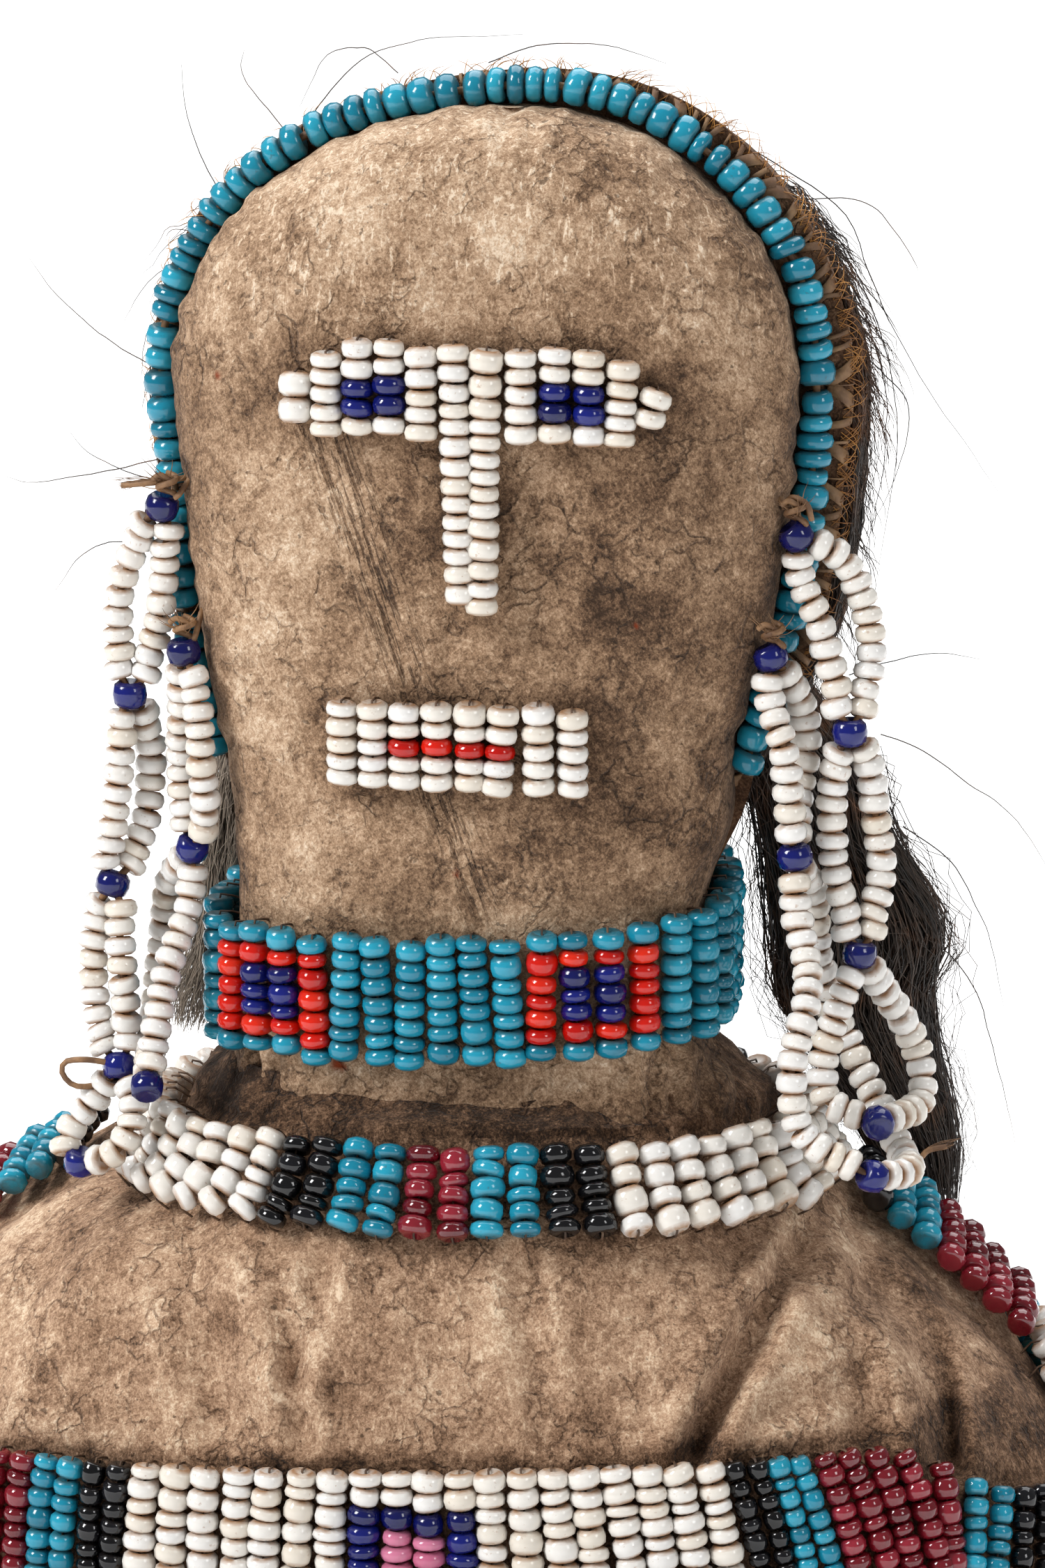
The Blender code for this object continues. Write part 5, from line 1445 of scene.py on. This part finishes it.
def sinew(name, pale, dark):
    """Dried sinew or plied twine: fibrous, tan where clean and brown where handled."""
    made, tree, shader, mm = new_material(name)
    plies = cloud(tree, mm, 0.35, 3.0, 0.6, (1, 1, 1), (0.4, 0.8, 0.2), 0.5)
    colour = mixed(tree, blotches(tree, mm, 1.6, 0.35, 0.68, 4.0, 0.6), dark, pale)
    plug(tree, shader, {"Base Color": mixed(tree, product(tree, plies, 0.5), colour, dark), "Roughness": 0.6,
                        "Normal": bumped(tree, plies, 0.08, 0.6)})
    return made


def whip_stitching(finish):
    """The tree: one flat strip over the rim at each point, X outwards and Z along the rim."""
    tree, given = growing_tree("whip stitching", "Points", ("Strip width", "Strip thickness"), ("Seed",))
    over = first(tree, "GeometryNodeCurveQuadraticBezier", {
        "Resolution": 9, "Start": (-1.35 * MM, -0.1 * MM, -0.75 * MM), "Middle": (1.05 * MM, -0.95 * MM, 0.0),
        "End": (-0.15 * MM, 1.9 * MM, 0.75 * MM)})
    over = first(tree, "GeometryNodeSetCurveNormal", {0: over}, mode="Z_UP")
    band = first(tree, "GeometryNodeCurvePrimitiveQuadrilateral", {"Width": given["Strip thickness"],
                                                                 "Height": given["Strip width"]})
    strip = first(tree, "GeometryNodeCurveToMesh", {0: over, 1: band, "Fill Caps": True})
    own = drawn(tree, (0.92, 0.92, -1.2), (1.06, 1.06, 1.2), given["Seed"])
    laid = first(tree, "GeometryNodeInstanceOnPoints", {"Points": given["Points"], "Instance": strip,
                                                      "Rotation": facing(tree), "Scale": own})
    return handed_out(tree, laid, finish)


STITCH_PITCH = 1.15
stitch_count = round(RIM_LENGTH / STITCH_PITCH)
stitch_shares = [(k + 0.5 + chance.uniform(-0.2, 0.2)) / stitch_count for k in range(stitch_count)]
stitch_outs = [rim_outward(share) for share in stitch_shares]
stitch_source = helper_points("stitch", [rim_point(share, -0.3, -0.05) for share in stitch_shares], [],
                              axis=[Vector((-out.z, 0, out.x)) for out in stitch_outs], out=stitch_outs)
strap_sinew = sinew("split sinew, smoke-brown", "#96744F", "#63462F")
stitches = grown("rim_whip_stitches", stitch_source, whip_stitching(strap_sinew),
                 {"Strip width": 0.72 * MM, "Strip thickness": 0.2 * MM, "Seed": 12})
shape = bmesh.new()
shape.from_mesh(stitches.data)
bmesh.ops.remove_doubles(shape, verts=shape.verts, dist=0.002 * MM)
bmesh.ops.recalc_face_normals(shape, faces=shape.faces)
shape.to_mesh(stitches.data)
shape.free()
settle(stitches, "back_hide")


# Thread and knots: plied sinew thread through every row of beads, and knots, loops and frayed ends
# where the ear strands are tied to the hide.

thread_sinew = sinew("plied sinew thread", "#A47C54", "#5A3D25")
settle(hairs("strand_threads", strand_threads, thread_sinew, 0.26, 0.0, 50, 5, 13, 0.0), "back_hide")
dark_thread = sinew("sewing sinew, dark with handling", "#6E523A", "#3A281B")
settle(hairs("sewing_threads", sewing_threads, dark_thread, 0.09, 0.0, 16, 3, 13, 0.0), "back_hide")

# Each knot is tied in front of a place where its thread goes into the hide
KNOTS = (((-18.6, -9.3, 69.4), (-17.2, -8.6, 70.0)), ((21.1, -8.9, 68.6), (19.9, -8.3, 69.4)),
         ((19.8, -9.4, 60.9), (18.9, -8.5, 61.5)), ((-17.5, -9.8, 60.4), (-16.6, -9.0, 61.4)))
cords, frays = [], []
for tied, rooted in KNOTS:
    tied, rooted = Vector(tied), Vector(rooted)
    turns_of_knot = [tied + Vector((0.62 * math.cos(t * 0.9), 0.45 * math.sin(t * 0.9) - 0.2, 0.16 * t - 0.6))
                     for t in range(10)]
    cords.append([rooted + Vector((0, 1.0, 0.0)), rooted] + turns_of_knot)
    cords.append([tied + Vector(step) for step in ((0.3, -0.3, 0.4), (-0.4, -0.5, 0.8), (-0.9, -0.4, 0.5))])
    for _ in range(16):
        way = Vector((chance.uniform(-1, 1), chance.uniform(-0.8, 0.2), chance.uniform(-0.1, 1.0)))
        root = tied + Vector((chance.uniform(-0.4, 0.4), -0.3, chance.uniform(-0.2, 0.6)))
        frays.append([root, root + way * 0.7, root + way * chance.uniform(1.0, 1.9) + Vector((0, 0, 0.2))])
cords += [
    [(-21.2, -8.0, 30.9), (-22.6, -9.5, 30.8), (-24.5, -11.0, 30.8), (-25.5, -11.0, 31.6), (-25.3, -11.0, 32.4),
     (-24.0, -11.0, 32.6), (-21.9, -10.0, 32.1)],
    [(27.6, -9.2, 27.8), (29.2, -10.0, 27.9), (29.9, -10.0, 28.5), (31.1, -10.0, 28.8)],
    [(-17.4, -8.4, 69.9), (-19.4, -9.4, 69.7), (-21.6, -9.3, 69.4)],
    [(20.2, -8.2, 68.8), (20.9, -9.0, 69.6), (21.8, -9.2, 69.2), (22.1, -9.0, 68.2)]]
for k in range(14):
    away = chance.uniform(-0.35, 0.5)
    frays.append([(-18.6, -9.4, 69.7), (-20.2, -9.4, 69.7 + away * 0.4), (-21.8 - away, -9.3, 69.3 + away)])
    frays.append([(29.5, -10.0, 28.3), (30.4, -10.0, 28.6 + away * 0.5), (31.4 + away, -10.0, 28.9 + away)])
settle(hairs("twine_knots", cords, thread_sinew, 0.2, 0.2, 24, 6, 14, 0.0), "back_hide")
settle(hairs("frayed_ends", frays, thread_sinew, 0.045, 0.8, 10, 3, 15), "back_hide")


# Studio: a plain white floor, two soft boxes high at the left and right, and an even white surround.
# The camera stands a little to the viewer's right and above, as in the photograph.

CAMERA_TURN, CAMERA_RISE, CAMERA_DISTANCE = 9.0, 11.0, 420.0
CAMERA_AIM = Vector((2.5, 0.0, 49.2))
SENSOR, FOCAL_PIXELS, FRAME_PIXELS = 24.0, 9365.0, 2250.0

floor_mesh = bpy.data.meshes.new("floor")
floor_mesh.from_pydata([(-4, -4, 0), (4, -4, 0), (4, 4, 0), (-4, 4, 0)], [], [(0, 1, 2, 3)])
floor = placed("floor", floor_mesh)
paper, tree, shader, mm = new_material("white paper sweep")
plug(tree, shader, {"Base Color": mixed(tree, blotches(tree, mm, 60.0, 0.3, 0.7), "#FAFAFA", "#FCFCFC"),
                    "Roughness": 0.9, "Specular IOR Level": 0.1})
floor_mesh.materials.append(paper)

bpy.context.scene.view_settings.view_transform = "Standard"
world = bpy.data.worlds.new("white surround")
world.use_nodes = True
plug(world.node_tree, world.node_tree.nodes["Background"], {"Color": (1.0, 1.0, 1.0, 1.0), "Strength": 0.22})
bpy.context.scene.world = world

# Name, place in metres, width and height in metres, watts; the last lights the paper behind
LAMPS = (("soft box left", (-0.7, -0.5, 0.7), 0.3, 0.5, 11.0),
         ("soft box right", (0.75, -0.6, 0.5), 0.25, 0.4, 2.2),
         ("paper light", (0.0, 0.85, 1.3), 1.8, 1.8, 34.0))
for name, place, wide, high, power in LAMPS:
    light = bpy.data.lights.new(name, "AREA")
    light.shape, light.size, light.size_y, light.energy = "RECTANGLE", wide, high, power
    lamp = placed(name, light)
    lamp.location = place
    aim = Vector((0, 0, 0.06)) if wide < 1 else Vector((0, place[1], 0))
    lamp.rotation_euler = (aim - Vector(place)).to_track_quat("-Z", "Y").to_euler()

turn, rise = math.radians(CAMERA_TURN), math.radians(CAMERA_RISE)
back_way = Vector((math.sin(turn) * math.cos(rise), -math.cos(turn) * math.cos(rise), math.sin(rise)))
camera_data = bpy.data.cameras.new("camera")
camera_data.sensor_fit = "VERTICAL"
camera_data.sensor_height = SENSOR
camera_data.lens = FOCAL_PIXELS / FRAME_PIXELS * SENSOR
camera_data.clip_start, camera_data.clip_end = 0.01, 20.0
camera = placed("camera", camera_data)
camera.location = (CAMERA_AIM + back_way * CAMERA_DISTANCE) * MM
camera.rotation_euler = (-back_way).to_track_quat("-Z", "Y").to_euler()
bpy.context.scene.camera = camera
